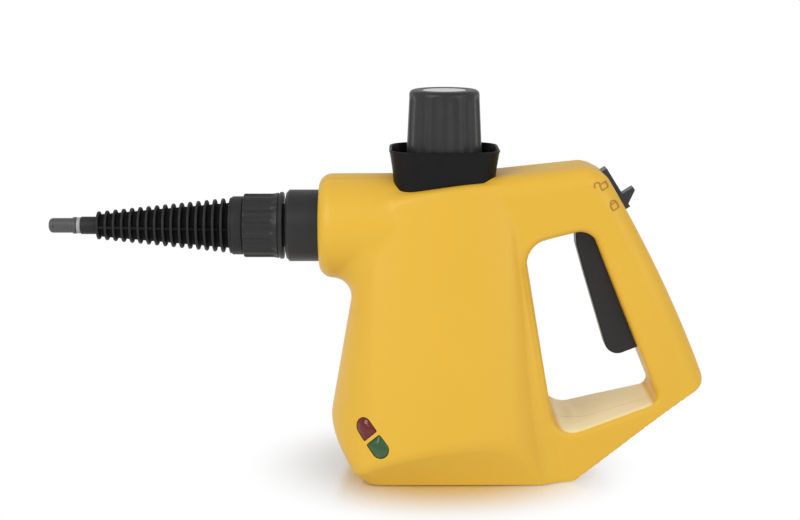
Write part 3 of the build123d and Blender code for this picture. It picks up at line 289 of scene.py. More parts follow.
def circle_through(p, q, s):
    """Centre and radius of the circle through three points."""
    d = 2.0 * (p[0] * (q[1] - s[1]) + q[0] * (s[1] - p[1]) + s[0] * (p[1] - q[1]))
    pp, qq, ss = (a * a + b * b for a, b in (p, q, s))
    x = (pp * (q[1] - s[1]) + qq * (s[1] - p[1]) + ss * (p[1] - q[1])) / d
    z = (pp * (s[0] - q[0]) + qq * (p[0] - s[0]) + ss * (q[0] - p[0])) / d
    return x, z, hypot(p[0] - x, p[1] - z)


def turned_corner(radius, p, q, s):
    """What to give both() for a true corner of this radius at q, on the way from p over q to s."""
    turn = Vector((q[0] - p[0], q[1] - p[1])).angle(Vector((s[0] - q[0], s[1] - q[1])))
    return radius * (1.0 - cos(turn / 2.0)) / (1.0 - cos(pi / 4.0))


def eased_share(low, high, value):
    """Nought at low, one at high and smooth between them."""
    share = np.clip((value - low) / (high - low), 0.0, 1.0)
    return share * share * (3.0 - 2.0 * share)


def slopes(form, x, y, z, step=0.5):
    """A form's distance at some places, and which way it grows there."""
    here = form(x, y, z)
    return here, ((form(x + step, y, z) - here) / step, (form(x, y + step, z) - here) / step,
                  (form(x, y, z + step) - here) / step)


def apart(first, second):
    """Nought where two skins run along each other, one where they meet square or sharper."""
    along = sum(a * b for a, b in zip(first, second))
    size = sum(a * a for a in first) * sum(b * b for b in second)
    return np.clip(1.0 - along / np.sqrt(np.maximum(size, 1e-6)), 0.02, 1.0)


def tower_form(x, y, z):
    """The oval tower under its shoulder, with the undercut sides and the sloped foot."""
    front = station(tower_front)
    rear = front + tower_length
    belly = front + tower_length * belly_share
    middle, off, bend = circle_through((front, front_half), (belly, belly_half), (rear, rear_half))
    side = np.hypot(x - middle, abs(y) - off) - bend
    ends = abs(x - (front + rear) / 2) - (rear - front) / 2
    oval = both(side, ends, plan_corner)
    slope = radians(draft)
    form = (oval + z * tan(slope)) * cos(slope)
    foot = station(foot_front)
    run = undercut_front + (undercut_rear - undercut_front) * (x - foot) / (rear - foot)
    form = both(form, (abs(y) - base_half - run * z) / np.sqrt(1.0 + run ** 2), undercut_round)
    form = both(form, left_of((foot, 0.0), (foot - 1.0, tan(radians(foot_lean))), x, z), base_corner)
    line = [side_point(share) for share in shoulder]
    top = left_of(line[0], line[1], x, z)
    for p, q in zip(line[1:], line[2:]):
        top = both(top, left_of(p, q, x, z), shoulder_ease)
    return both(form, top, shoulder_round)


def barrel_form(x, y, z):
    """The round barrel that carries the nozzle."""
    end = station(barrel_length)
    radius = hub_radius + hub_slope * (x - hub_face) / barrel_length
    radius = radius - barrel_sink * eased_share(end - hub_fade * hub_blend, end, x)
    return both(np.hypot(y, z - nozzle_axis) - radius, hub_face - x, hub_round)


def underside(x, z):
    """Over the straight underside that runs from the base up to the heel."""
    return left_of(side_point(heel), (station(underside_start), 0.0), x, z)


def loop_form(x, y, z):
    """The handle and the lower arm: one rounded ring, trimmed along its underside."""
    start = station(loop_front)
    low_heel = (side_point(heel)[0] + skirt * skirt_run, side_point(heel)[1] - skirt)
    middle, low, bend = circle_through(side_point(back_top), side_point(back_middle), low_heel)
    line = [side_point(share) for share in (top_start, apex, back_top, back_middle)]
    ring = both(left_of(line[0], line[1], x, z), left_of(line[1], line[2], x, z),
                turned_corner(apex_round, *line[:3]))
    ring = both(ring, np.hypot(x - middle, z - low) - bend, turned_corner(back_top_round, *line[1:]))
    corners = [side_point(share) for share in opening]
    sides = [left_of(corners[i], corners[(i + 1) % 4], x, z) for i in range(4)]
    rounds = [turned_corner(housing_height * opening_rounds[i], corners[i - 1], corners[i], corners[(i + 1) % 4])
              for i in range(4)]
    high = both(both(sides[3], sides[0], rounds[0]), sides[1], rounds[1])
    low_part = both(both(sides[1], sides[2], rounds[2]), sides[3], rounds[3])
    hole = np.where(z > housing_height / 2, np.maximum(high, sides[2]), np.maximum(low_part, sides[0]))
    reach = (x - start) / (housing_length + skirt - loop_front)
    flare = arm_flare * eased_share(*arm_flare_run, x) * eased_share(*arm_flare_rise, z)
    width = abs(y) - loop_half_front - flare + (loop_half_front - loop_half_rear) * reach
    form = both(both(ring, width, loop_round), -hole, opening_edge)
    heel_top = (side_point(heel)[0] - heel_rise * heel_run, side_point(heel)[1] + heel_rise)
    heel_side = left_of(heel_top, side_point(heel), x, z)
    low_round = turned_corner(heel_round, heel_top, side_point(heel), (station(underside_start), 0.0))
    return np.maximum(form, both(underside(x, z), heel_side, low_round))


def housing_form(x, y, z):
    """The whole outside of the housing, with soft hollows where its parts run together."""
    tower, tower_way = slopes(tower_form, x, y, z)
    loop, loop_way = slopes(loop_form, x, y, z)
    barrel, barrel_way = slopes(barrel_form, x, y, z)
    start = station(loop_front)
    loop = np.maximum(loop, start - x)
    fade = eased_share(start + fade_start, start + arm_fade * arm_blend, x)
    form = either(tower, loop, blend_least + arm_blend * apart(tower_way, loop_way) * fade)
    end = station(barrel_length)
    barrel = np.maximum(barrel, x - end)
    fade = eased_share(end - fade_start, end - hub_fade * hub_blend, x)
    form = either(form, barrel, blend_least + hub_blend * apart(tower_way, barrel_way) * fade)
    return both(np.maximum(form, base_lift - z), underside(x, z), underside_ease)


def skin(form, low, high, pitch):
    """Points and faces of a fine closed skin over a form, each point laid right on it."""
    axes = [np.arange(a, b, pitch, dtype=np.float32) for a, b in zip(low, high)]
    values = form(*np.meshgrid(*axes, indexing="ij", sparse=True))
    deep = 8.0 * pitch
    grid = openvdb.FloatGrid(background=deep)
    grid.copyFromArray(np.ascontiguousarray(np.clip(values, -deep, deep), dtype=np.float32))
    points, faces = grid.convertToQuads(isovalue=0.0)
    points = points.astype(float) * pitch + np.array(low)
    nudge = 0.01
    for _ in range(2):
        here = form(*points.T)
        steps = [form(*(points + step).T) - here for step in np.eye(3) * nudge]
        slope = np.stack(steps, axis=1) / nudge
        size = np.maximum((slope ** 2).sum(axis=1), 0.25)
        points = points - slope * np.clip(here / size, -pitch, pitch)[:, None]
    return points, faces[:, ::-1]


def make(name, points, faces, smooth=32.0):
    """An object in metres from points in millimetres, smooth but for edges sharper than this."""
    mesh = bpy.data.meshes.new(name)
    mesh.from_pydata([tuple(MM * value for value in point) for point in points], [], [tuple(f) for f in faces])
    work = bmesh.new()
    work.from_mesh(mesh)
    bmesh.ops.recalc_face_normals(work, faces=work.faces)
    work.to_mesh(mesh)
    work.free()
    mesh.shade_smooth()
    mesh.set_sharp_from_angle(angle=radians(smooth))
    piece = bpy.data.objects.new(name, mesh)
    bpy.context.scene.collection.objects.link(piece)
    return piece


def through(loops, ring=False):
    """Points and faces of a skin through loops of equal length: closed at its ends, or a ring."""
    count = len(loops[0])
    points = [point for loop in loops for point in loop]
    faces = []
    for row in range(len(loops) if ring else len(loops) - 1):
        here, there = row * count, (row + 1) % len(loops) * count
        for i in range(count):
            j = (i + 1) % count
            faces.append((here + i, here + j, there + j, there + i))
    if not ring:
        last = (len(loops) - 1) * count
        faces.append(tuple(reversed(range(count))))
        faces.append(tuple(range(last, last + count)))
    return points, faces


def eased(corners, rounds, steps=7):
    """A closed outline with each corner rounded to its radius."""
    line = []
    for i, corner in enumerate(corners):
        corner = Vector(corner)
        before = (Vector(corners[i - 1]) - corner).normalized()
        after = (Vector(corners[(i + 1) % len(corners)]) - corner).normalized()
        radius = rounds[i] if hasattr(rounds, "__len__") else rounds
        half = before.angle(after) / 2.0
        if radius <= 0.0 or half > radians(89.5):
            line.append(tuple(corner))
            continue
        reach = radius / tan(half)
        middle = corner + (before + after).normalized() * (radius / sin(half))
        start, end = corner + before * reach - middle, corner + after * reach - middle
        turn = start.angle_signed(end)
        for k in range(steps + 1):
            angle = -turn * k / steps
            line.append((middle.x + start.x * cos(angle) - start.y * sin(angle),
                         middle.y + start.x * sin(angle) + start.y * cos(angle)))
    return line


def laid(outline, origin, across, up):
    """An outline drawn in a plane, as points in space."""
    origin, across, up = Vector(origin), Vector(across), Vector(up)
    return [tuple(origin + across * u + up * v) for u, v in outline]


def block(outline, origin, across, up, low, high):
    """Points and faces of an outline carried straight along the plane's normal, from low to high."""
    out = Vector(across).cross(Vector(up))
    return through([laid(outline, Vector(origin) + out * level, across, up) for level in (low, high)])


def circle(radius, count=72):
    return [(radius * cos(2 * pi * i / count), radius * sin(2 * pi * i / count)) for i in range(count)]


def cut(piece, tool, operation="DIFFERENCE"):
    """Cut one closed piece with another, which is used up."""
    for made in (piece, tool):
        made.hide_set(False)
    knife = piece.modifiers.new("cut", "BOOLEAN")
    knife.object = tool
    knife.operation = operation
    knife.solver = "MANIFOLD"
    cut_mesh = bpy.data.meshes.new_from_object(piece.evaluated_get(bpy.context.evaluated_depsgraph_get()))
    piece.modifiers.clear()
    piece.data = cut_mesh
    bpy.data.objects.remove(tool)


def together(*shapes):
    """Several closed skins, clear of each other, as one."""
    points, faces = [], []
    for more, sides in shapes:
        faces += [tuple(len(points) + corner for corner in side) for side in sides]
        points += more
    return points, faces


def grown(corners, amount):
    """A closed outline moved outwards by an amount, or inwards where it is below nought."""
    count = len(corners)
    area = sum(corners[i - 1][0] * corners[i][1] - corners[i][0] * corners[i - 1][1] for i in range(count))
    lines = []
    for i, start in enumerate(corners):
        way = (Vector(corners[(i + 1) % count]) - Vector(start)).normalized()
        out = Vector((way.y, -way.x)) * (1.0 if area > 0.0 else -1.0)
        lines.append((Vector(start) + out * amount, way))
    moved = []
    for i in range(count):
        (first, along), (second, way) = lines[i - 1], lines[i]
        turn = along.x * way.y - along.y * way.x
        shift = second - first
        straight = abs(turn) < 1e-6
        moved.append(tuple(second if straight else first + along * ((shift.x * way.y - shift.y * way.x) / turn)))
    return moved


def frame_loop(half_long, half_deep, corner, middle, height, steps=12):
    """A level loop round an upright axis: a rectangle with rounded corners, or a circle."""
    loop = []
    for quarter, (sx, sy) in enumerate(((1, 1), (-1, 1), (-1, -1), (1, -1))):
        for k in range(steps):
            angle = pi / 2 * (quarter + k / (steps - 1))
            loop.append((middle + sx * (half_long - corner) + corner * cos(angle),
                         sy * (half_deep - corner) + corner * sin(angle), height))
    return loop


def ray_to_skin(start, way, reach=40.0, samples=2000, step=0.3):
    """Where a line from outside first meets the housing's skin, and the way out of it there."""
    start, way = np.array(start, dtype=float), np.array(way, dtype=float) / np.linalg.norm(way)
    far = np.linspace(0.0, reach, samples)
    values = housing_form(*(start[:, None] + way[:, None] * far))
    first = int(np.argmax(values < 0.0))
    share = values[first - 1] / (values[first - 1] - values[first])
    spot = start + way * (far[first - 1] + share * (far[first] - far[first - 1]))
    slope = np.array([housing_form(*(spot + move)) - housing_form(*(spot - move)) for move in np.eye(3) * step])
    return Vector(spot), Vector(slope / np.linalg.norm(slope))


collar_station = 74.2
collar_rim = 195.5
collar_foot = 164.0
collar_corner = 14.0
collar_profile = ((164.0, 29.2, 24.4), (170.0, 29.4, 24.5), (176.0, 29.7, 24.6), (181.0, 30.2, 24.8),
                  (186.0, 30.8, 25.0), (191.0, 31.6, 25.4), (194.2, 32.1, 25.6))
fit_gap = 0.15
outlet_radius = 21.4
outlet_sunk = 7.0
trigger_corners = [side_point(share) for share in (
    (0.6662, 0.7704), (0.6680, 0.7414), (0.6907, 0.6457), (0.7479, 0.4194), (0.7833, 0.3800),
    (0.8414, 0.4090), (0.8620, 0.4230), (0.7353, 0.7903), (0.7160, 0.8660), (0.6660, 0.8660))]
trigger_slot_half = 8.0
trigger_slot_end = 1.2
lock_lean = radians(57.6)
lock_up = Vector((-cos(lock_lean), 0.0, sin(lock_lean)))
lock_out = Vector((sin(lock_lean), 0.0, cos(lock_lean)))
lock_station = side_point((0.7650, 0.9188))
lens_spot = (station(31.6), 31.8)
lens_tilt = radians(42.0)
lens_width = 9.6
lens_length = 11.8
lens_gap = 3.0
gland_radius = 6.05
inlet_station = 178.0
foot_spots = [(station(x), y) for x in (46.0, 128.0) for y in (-27.0, 27.0)]
foot_radius = 5.0
foot_height = 1.6

lock_window = (11.05, 4.05)
lens_seat = 0.45
running_gap = 0.05
half_gap = 0.03
skin_pitch = 1.25
hollow_pitch = 2.3

collar_x = station(collar_station)
screw_places = [side_point(share) for share in screw_spots]
low_corner, high_corner = (-38.0, -60.0, -3.0), (200.0, 60.0, 190.0)
housing = make("housing", *skin(housing_form, low_corner, high_corner, skin_pitch))


def housing_void(x, y, z):
    """The hollow inside the housing, round the bosses that take the screws."""
    hollow = housing_form(x, y, z) + wall
    for across, up in screw_places:
        hollow = np.maximum(hollow, screw_boss - np.hypot(x - across, z - up) + 0.0 * y)
    return hollow


cut(housing, make("hollow", *skin(housing_void, low_corner, high_corner, hollow_pitch)))

lock_middle, _ = ray_to_skin(Vector((lock_station[0], 0.0, lock_station[1])) + lock_out * 20.0, -lock_out)
lens_middle, lens_normal = ray_to_skin((lens_spot[0], -90.0, lens_spot[1]), (0.0, 1.0, 0.0), 80.0)
lens_down = Vector((sin(lens_tilt), 0.0, -cos(lens_tilt)))
lens_down = (lens_down - lens_normal * lens_down.dot(lens_normal)).normalized()
lens_across = lens_normal.cross(lens_down)


def lens_outline(side, grow=0.0):
    """One lens: square towards the middle of the pair, with its far end round."""
    half = lens_width / 2 + grow
    near, far = lens_gap / 2 - grow, lens_gap / 2 + lens_length - lens_width / 2
    line = [(near, -half), (far, -half)]
    line += [(far + half * sin(angle), -half * cos(angle)) for angle in np.linspace(0.0, pi, 15)[1:-1]]
    line += [(far, half), (near, half)]
    outline = eased(line, [1.0] + [0.0] * (len(line) - 2) + [1.0])
    return [(side * a, side * b) for a, b in outline]


arm_slope = atan2(heel[1] * housing_height, housing_length * heel[0] - underside_start)
inlet_spot = (station(inlet_station), (inlet_station - underside_start) * tan(arm_slope))
inlet_out = Vector((sin(arm_slope), 0.0, -cos(arm_slope)))
across_y = Vector((0.0, 1.0, 0.0))
along_x = Vector((1.0, 0.0, 0.0))
upward = Vector((0.0, 0.0, 1.0))
square = ((-1, -1), (1, -1), (1, 1), (-1, 1))

cutters = [
    through([frame_loop(long + fit_gap, deep + fit_gap, collar_corner, collar_x, height)
             for height, long, deep in ((collar_foot, 29.2, 24.4), *collar_profile[1:])]),
    block(circle(outlet_radius + running_gap), (0.0, 0.0, nozzle_axis), across_y, upward, hub_face - 4.0,
          hub_face + outlet_sunk),
    block(grown(trigger_corners, trigger_slot_end), (0.0, 0.0, 0.0), along_x, upward, -trigger_slot_half,
          trigger_slot_half),
    block([(a * lock_window[0], b * lock_window[1]) for a, b in square], lock_middle, across_y, lock_up,
          -2 * wall, 2 * wall),
    *(block(lens_outline(side, lens_seat), lens_middle, lens_down, lens_across, -8.0, 6.0) for side in (-1, 1)),
    block(circle(gland_radius), (inlet_spot[0], 0.0, inlet_spot[1]), across_y, across_y.cross(inlet_out),
          -6.0, 6.0),
    *(block(circle(foot_radius + running_gap, 48), (x, y, 0.0), along_x, across_y, -1.0,
            foot_height + running_gap) for x, y in foot_spots),
    *(block(circle(screw_well, 48), (x, 0.0, z), upward, along_x, parting + screw_seat, 80.0)
      for x, z in screw_places),
]
cut(housing, make("openings", *together(*cutters)))

carrier = {node: body for body, nodes in frame["record"]["behaviour"]["bodies"].items() for node in nodes}


def fit(piece, finish, *nodes, smooth=32.0):
    """Give a piece its finish and let it stand for these solids, on the body that carries them."""
    piece.data.materials.clear()
    piece.data.materials.append(finish.material)
    piece.data.shade_smooth()
    piece.data.set_sharp_from_angle(angle=radians(smooth))
    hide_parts(*nodes)
    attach(piece, carrier[nodes[0]])
    return piece


def dress(finish, *nodes):
    """Give solids that stay as drawn their finish."""
    for node in nodes:
        solid = frame["nodes"][node]
        solid.data.materials.clear()
        solid.data.materials.append(finish.material)


abs_yellow = Finish("yellow_abs", yellow, 0.42, Specular_IOR_Level=0.36)
tone = abs_yellow.mix(0.35 * abs_yellow.noise(55.0, 2.0), yellow, yellow_shade)
seam = abs(abs_yellow.place(1) - parting * MM) < seam_width / 2 * MM
# Painted sheen: the lower arm's up-facing top is mixed towards pale yellow, standing in for the reflection of the
# bright room it catches there.
facing_up = abs_yellow.node("ShaderNodeSeparateXYZ", {}, {
    "Vector": abs_yellow.node("ShaderNodeNewGeometry", {}, {}, out=1)}, out=2)
across, up = abs_yellow.place(0), abs_yellow.place(2)
(arm_front, arm_low), (arm_rear, arm_high) = side_point(opening[3]), side_point(opening[2])
on_arm = ((across > (arm_front - 6.0) * MM) * (across < arm_rear * MM)
          * (up > 0.5 * arm_low * MM) * (up < 1.3 * arm_high * MM))
tone = abs_yellow.mix(abs_yellow.rising(facing_up, 0.72, 0.94, top=0.95) * on_arm, tone, painted_sheen_yellow)
abs_yellow.set("Base Color", abs_yellow.mix(0.75 * seam, tone, seam_brown))
abs_yellow.worn(0.36, 0.10, 14.0, 0.06)
abs_yellow.grain(0.5, 0.012, 0.5)

half_box = ((-6.0, -60.0), (230.0, -60.0), (230.0, 230.0), (-6.0, 230.0))
far_half = housing.copy()
far_half.data = housing.data.copy()
far_half.name = "right_half"
bpy.context.scene.collection.objects.link(far_half)
housing.name = "left_half"
cut(housing, make("far_side", *block(half_box, (0, 0, 0), upward, along_x, parting - half_gap, 90.0)))
cut(far_half, make("near_side", *block(half_box, (0, 0, 0), upward, along_x, -90.0, parting + half_gap)))
fit(housing, abs_yellow, "left_shell")
fit(far_half, abs_yellow, "right_shell")

# Screws and feet
# Five pan-head steel screws draw the halves together from the far side, deep in their wells,
# and four round rubber feet sit in recesses under the base.
zinc = Finish("zinc_steel", (0.56, 0.56, 0.57), 0.3, Metallic=1.0)
zinc.worn(0.22, 0.2, 4.0)
zinc.grain(0.8, 0.006)
head_radius = 3.2
head_height = 2.2
cross_half = 0.45
cross_reach = 2.0
cross_floor = 0.9
shank_radius = 1.5


def turned(profile, centre, axis, count=96, ring=True):
    """A turned form from its profile of (place along the axis, radius); axis 2 is upright."""
    loops = []
    for place, radius in profile:
        loop = []
        for i in range(count):
            angle = 2 * pi * i / count
            a, b = centre[0] + radius * cos(angle), centre[1] + radius * sin(angle)
            loop.append(((place, a, b), (a, place, b), (a, b, place))[axis])
        loops.append(loop)
    return through(loops, ring)


seat = parting + screw_seat
screws = make("screws", *together(*(
    turned([(parting - 7.6, 0.4), (parting - 7.0, shank_radius), (seat - 0.05, shank_radius), (seat, head_radius),
            (seat + 1.0, head_radius), (seat + 1.8, 2.6), (seat + head_height, 1.4)],
           spot, 1, 32, ring=False) for spot in screw_places)))
near, far = cross_half, cross_reach
cross = [(-far, -near), (-near, -near), (-near, -far), (near, -far), (near, -near), (far, -near),
         (far, near), (near, near), (near, far), (-near, far), (-near, near), (-far, near)]
cut(screws, make("cross_slots", *together(*(
    block(cross, (x, 0.0, z), upward, along_x, seat + cross_floor, seat + 4.0) for x, z in screw_places))))
fit(screws, zinc, "housing_screws")

seal = Finish("seal_rubber", (0.018, 0.018, 0.019), 0.75)
seal.worn(0.65, 0.2, 2.5)
seal.grain(0.6, 0.02)
feet = make("feet", *together(*(
    turned([(0.35, foot_radius - 1.2), (0.0, foot_radius - 1.0), (0.0, foot_radius - 0.5),
            (0.15, foot_radius - 0.15), (0.5, foot_radius), (foot_height, foot_radius),
            (foot_height, foot_radius - 1.4)],
           spot, 2, 48, ring=False) for spot in foot_spots)))
fit(feet, seal, "base_feet")

# The boiler and its fittings
# Two cast aluminium cups bolted over a gasket, on a pressed steel bracket, with a tubular
# element, a thermostat and a fuse. The steam leaves by a copper pipe through a brass valve.
cast = Finish("cast_aluminium", (0.62, 0.62, 0.63), 0.45, Metallic=1.0)
cast.worn(0.35, 0.25, 5.5)
cast.grain(1.1, 0.1, 0.4)
dress(cast, "boiler_base", "boiler_top")
dress(zinc, "boiler_screws", "boiler_bracket", "heating_element", "thermostat", "valve_plunger", "valve_spring")
dress(seal, "boiler_gasket")
brass = Finish("turned_brass", (0.72, 0.53, 0.24), 0.28, Metallic=1.0)
brass.worn(0.2, 0.2, 4.0)
brass.grain(0.7, 0.005)
dress(brass, "neck_nut", "filler_neck", "valve_body")
copper = Finish("copper_pipe", (0.70, 0.36, 0.24), 0.3, Metallic=1.0)
copper.worn(0.22, 0.25, 6.0)
copper.grain(1.4, 0.01)
dress(copper, "steam_pipe", "outlet_pipe")
nylon = Finish("natural_nylon", (0.35, 0.35, 0.34), 0.5)
nylon.worn(0.42, 0.2, 4.0)
nylon.grain(0.5, 0.01)
dress(nylon, "thermal_fuse", "lamp_holder", "terminal_block", "cord_clamp", "microswitch", "switch_button")
winding = Finish("coil_wrap", (0.20, 0.045, 0.012), 0.55)
winding.worn(0.5, 0.2, 2.0)
winding.grain(0.4, 0.03)
dress(winding, "valve_coil")

# The filler collar
# A deep satin black cup with a rolled rim, moulded in glass-filled nylon, let into the
# shoulder from above. Its floor seals on the boiler's neck, so spilt water stays out.
collar_black = (0.0035, 0.0036, 0.0037)
collar_wall = 1.8
collar_floor = 177.0
collar_floor_top = 179.4
neck_hole = (13.05, 13.05, 13.05)
cup_wall = (28.3, 23.0, 12.2)
cup_floor = (27.4, 22.2, 11.4)
cup_skirt = (27.4, 22.6, 12.2)
rim_round = 0.8
collar_lip = 0.35
nylon_black = Finish("collar_nylon", collar_black, 0.42, Specular_IOR_Level=0.16)
nylon_black.mottled(collar_black, (0.012, 0.0122, 0.0125), 9.0, 0.5)
nylon_black.worn(0.36, 0.14, 3.0, 0.05)
nylon_black.grain(0.35, 0.015, 0.7)

loops = [frame_loop(long, deep, collar_corner, collar_x, height) for height, long, deep in collar_profile]
rim_long, rim_deep = collar_profile[-1][1] + collar_lip, collar_profile[-1][2] + collar_lip
rim_height = collar_rim - rim_round
for angle in np.linspace(-0.35 * pi, pi, 9):
    reach = rim_round * (cos(angle) - 1.0)
    loops.append(frame_loop(rim_long + reach, rim_deep + reach, collar_corner + reach, collar_x,
                            rim_height + rim_round * sin(angle)))
for height, long, deep in reversed(collar_profile[3:-1]):
    loops.append(frame_loop(long - collar_wall, deep - collar_wall, collar_corner - collar_wall, collar_x, height))
for sizes, height in ((cup_wall, collar_floor_top + 0.8), (cup_floor, collar_floor_top),
                      (neck_hole, collar_floor_top), (neck_hole, collar_floor), (cup_skirt, collar_floor),
                      (cup_skirt, collar_foot)):
    loops.append(frame_loop(*sizes, collar_x, height))
fit(make("filler_cup", *through(loops, ring=True)), nylon_black, "filler_collar")

# The safety cap
# A fluted cap in black phenolic that turns freely on its core until it is pressed down. A
# polished disc sits in the dish on top; core, gasket, washer and spring are hidden below.
cap_black = (0.016, 0.0162, 0.0166)
cap_foot = 184.8
cap_top = 229.6
cap_foot_radius = 22.8
cap_top_radius = 20.6
cap_round = 3.0
cap_flutes = 14
cap_flute_radius = 6.0
cap_flute_depth = 0.9
cap_bore = 17.4
cap_top_wall = 5.0
moulded_grain = (0.3, 0.012, 0.6)
dish_radius = 13.2
dish_depth = 0.9
flute_steps = (0.0, 0.22, 0.44, 0.58, 0.64, 0.69, 0.76, 0.88)


def fluted_loop(radius, height, centre, axis, count, flute_radius, depth, past):
    """One loop of a fluted form, round axis 0 or 2; past is how far it lies beyond the flutes' ends."""
    half = pi / count
    loop = []
    for flute in range(count):
        for step in [-share for share in reversed(flute_steps[1:])] + list(flute_steps) + [1.0]:
            side = radius * half * step
            drop = max(0.0, depth - (side ** 2 + past ** 2) / (2 * flute_radius))
            angle = half * (2 * flute + step)
            a, b = (radius - drop) * cos(angle), (radius - drop) * sin(angle)
            x, y = centre[0] + a, centre[1] + b
            loop.append((height, x, y) if axis == 0 else (x, y, height))
    return loop


def cap_loop(height, radius=None):
    """A loop of the cap at this height, on its tapered side unless a radius is given."""
    if radius is None:
        radius = cap_foot_radius + (cap_top_radius - cap_foot_radius) * (height - cap_foot) / (cap_top - cap_foot)
    return fluted_loop(radius, height, (collar_x, 0.0), 2, cap_flutes, cap_flute_radius, cap_flute_depth,
                       max(0.0, height - (cap_top - 2 * cap_round)))


loops = [cap_loop(cap_top - cap_top_wall, cap_bore), cap_loop(cap_foot + 0.5, cap_bore),
         cap_loop(cap_foot, cap_bore + 0.5), cap_loop(cap_foot, cap_foot_radius - 0.6)]
loops[2] = [(x, y, cap_foot) for x, y, _ in loops[2]]
loops += [cap_loop(cap_foot + 0.5 + (cap_top - 2 * cap_round - cap_foot - 0.5) * k / 14) for k in range(15)]
loops += [cap_loop(cap_top - 2 * cap_round + k * 0.5) for k in range(1, 6)]
for angle in np.linspace(0.0, pi / 2, 10):
    loops.append([(x, y, z) for x, y, z in fluted_loop(
        cap_top_radius + 0.12 - cap_round * (1.0 - cos(angle)), cap_top - cap_round * (1.0 - sin(angle)),
        (collar_x, 0.0), 2, cap_flutes, cap_flute_radius, cap_flute_depth, cap_round * (0.9 + sin(angle)))])
for radius, height in ((dish_radius + 0.8, cap_top), (dish_radius + 0.25, cap_top - 0.12),
                       (dish_radius, cap_top - 0.4), (dish_radius, cap_top - dish_depth)):
    loops.append(fluted_loop(radius, height, (collar_x, 0.0), 2, cap_flutes, 1.0, 0.0, 9.0))
cap_finish = Finish("cap_phenolic", cap_black, 0.38, Specular_IOR_Level=0.34)
cap_finish.mottled(cap_black, (0.034, 0.034, 0.035), 7.0, 0.6)
cap_finish.worn(0.30, 0.14, 2.2, 0.06)
cap_finish.grain(*moulded_grain)
fit(make("safety_cap", *through(loops)), cap_finish, "cap_shell")

disc_metal = Finish("brushed_disc", (0.86, 0.86, 0.86), 0.22, Metallic=1.0)
disc_metal.worn(0.2, 0.12, 0.8, detail=3.0)
disc_metal.grain(0.5, 0.003)
disc_radius = dish_radius - 0.3
inlay = turned([(cap_top - dish_depth + 0.02, disc_radius), (cap_top - 0.42, disc_radius),
                (cap_top - 0.27, dish_radius - 0.5), (cap_top - 0.24, 6.0), (cap_top - 0.22, 0.4)],
               (collar_x, 0.0), 2, ring=False)
fit(make("cap_inlay", *inlay), disc_metal, "cap_disc")
dress(nylon, "cap_core", "cap_slip_washer")
dress(seal, "cap_gasket")

cap_coil_foot = (40.4, 0.0, 202.75)
cap_coil_radius = 9.4
cap_coil_length = 19.6
cap_coil_turns = 5
coil_wire = 0.7


def coil(radius, length, turns, foot, way, steps=28):
    """A wound spring: round wire in even turns, from its foot along its way."""
    way = Vector(way).normalized()
    side = Vector((0.0, 1.0, 0.0))
    other = way.cross(side)
    loops = []
    for i in range(turns * steps + 1):
        angle = 2 * pi * i / steps
        out = side * cos(angle) + other * sin(angle)
        middle = Vector(foot) + out * radius + way * (length * i / (turns * steps))
        loops.append([tuple(middle + (out * u + way * v)) for u, v in circle(coil_wire / 2, 8)])
    return through(loops)


cap_coil = make("cap_coil", *coil(cap_coil_radius, cap_coil_length, cap_coil_turns, cap_coil_foot, upward))
fit(cap_coil, zinc, "cap_spring")
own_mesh(cap_coil)

# The outlet collar
# A turned-looking black moulding clamped in the hub's face; its bore guides the nozzle's
# spigot, and its chamfered front is the stop that the grip ring turns against.
outlet_length = 19.4
outlet_nose = 19.6
outlet_chamfer = 1.8
outlet_bore = 15.4
outlet_flange = 24.0
outlet_lip = 6.0
spigot_shoulder = 11.0
satin_black = (0.014, 0.0141, 0.0144)
nozzle_black = Finish("nozzle_nylon", satin_black, 0.4, Specular_IOR_Level=0.32)
nozzle_black.mottled(satin_black, (0.028, 0.028, 0.029), 8.0, 0.6)
nozzle_black.worn(0.34, 0.14, 2.6, 0.05)
nozzle_black.grain(*moulded_grain)
axis_place = (0.0, nozzle_axis)
front = station(-outlet_length)
inner = station(wall + 0.3)
outline = eased([
    (front, spigot_shoulder + 0.05), (front, outlet_nose), (front + outlet_chamfer, outlet_radius),
    (inner, outlet_radius), (inner, outlet_flange), (inner + 2.0, outlet_flange), (inner + 2.0, outlet_radius),
    (station(outlet_sunk), outlet_radius), (station(outlet_sunk), outlet_bore), (front + outlet_lip, outlet_bore),
    (front + outlet_lip, spigot_shoulder + 0.05)], [0.3, 0.5, 0.7] + [0.0] * 8, 4)
fit(make("outlet", *turned(outline, axis_place, 0)), nozzle_black, "outlet_collar")

# The nozzle
# A ribbed cone that keeps the hand off the hot steam tube, and a fluted ring that locks it to
# the outlet. Both are black nylon; a pale ring marks the joint with the grey screwed tip.
grip_gap = 1.7
grip_length = 23.7
grip_radius = 19.1
grip_band = 2.2
grip_band_radius = 20.0
grip_groove = 0.8
grip_flare = 3.4
grip_flare_radius = 19.6
grip_flutes = 18
grip_flute_radius = 2.6
grip_flute_depth = 1.0
grip_bore = 13.0
cone_flange_length = 6.8
cone_flange_radius = 17.4
cone_length = 80.7
rib_count = 17
rib_width = 1.5
rib_front_radius = 8.4
rib_rear_radius = 16.7
core_front_radius = 6.6
core_rear_radius = 13.6
sleeve_length = 9.9
sleeve_radius = 5.25
nozzle_bore = 3.2
pipe_radius = 4.05
pipe_depth = 1.7
nozzle_gap = 0.3
spigot_length = 12.0
grip_front = front - grip_gap - grip_length
grip_rear = grip_front + grip_length
groove_front = grip_rear - grip_band - grip_groove
flute_start = grip_front + 1.2
flute_end = groove_front - grip_flare


def grip_loop(place, radius):
    """A loop of the grip ring, fluted between its smooth ends."""
    past = max(0.0, flute_start + 0.6 - place, place - flute_end + 0.6)
    return fluted_loop(radius, place, axis_place, 0, grip_flutes, grip_flute_radius, grip_flute_depth, past)


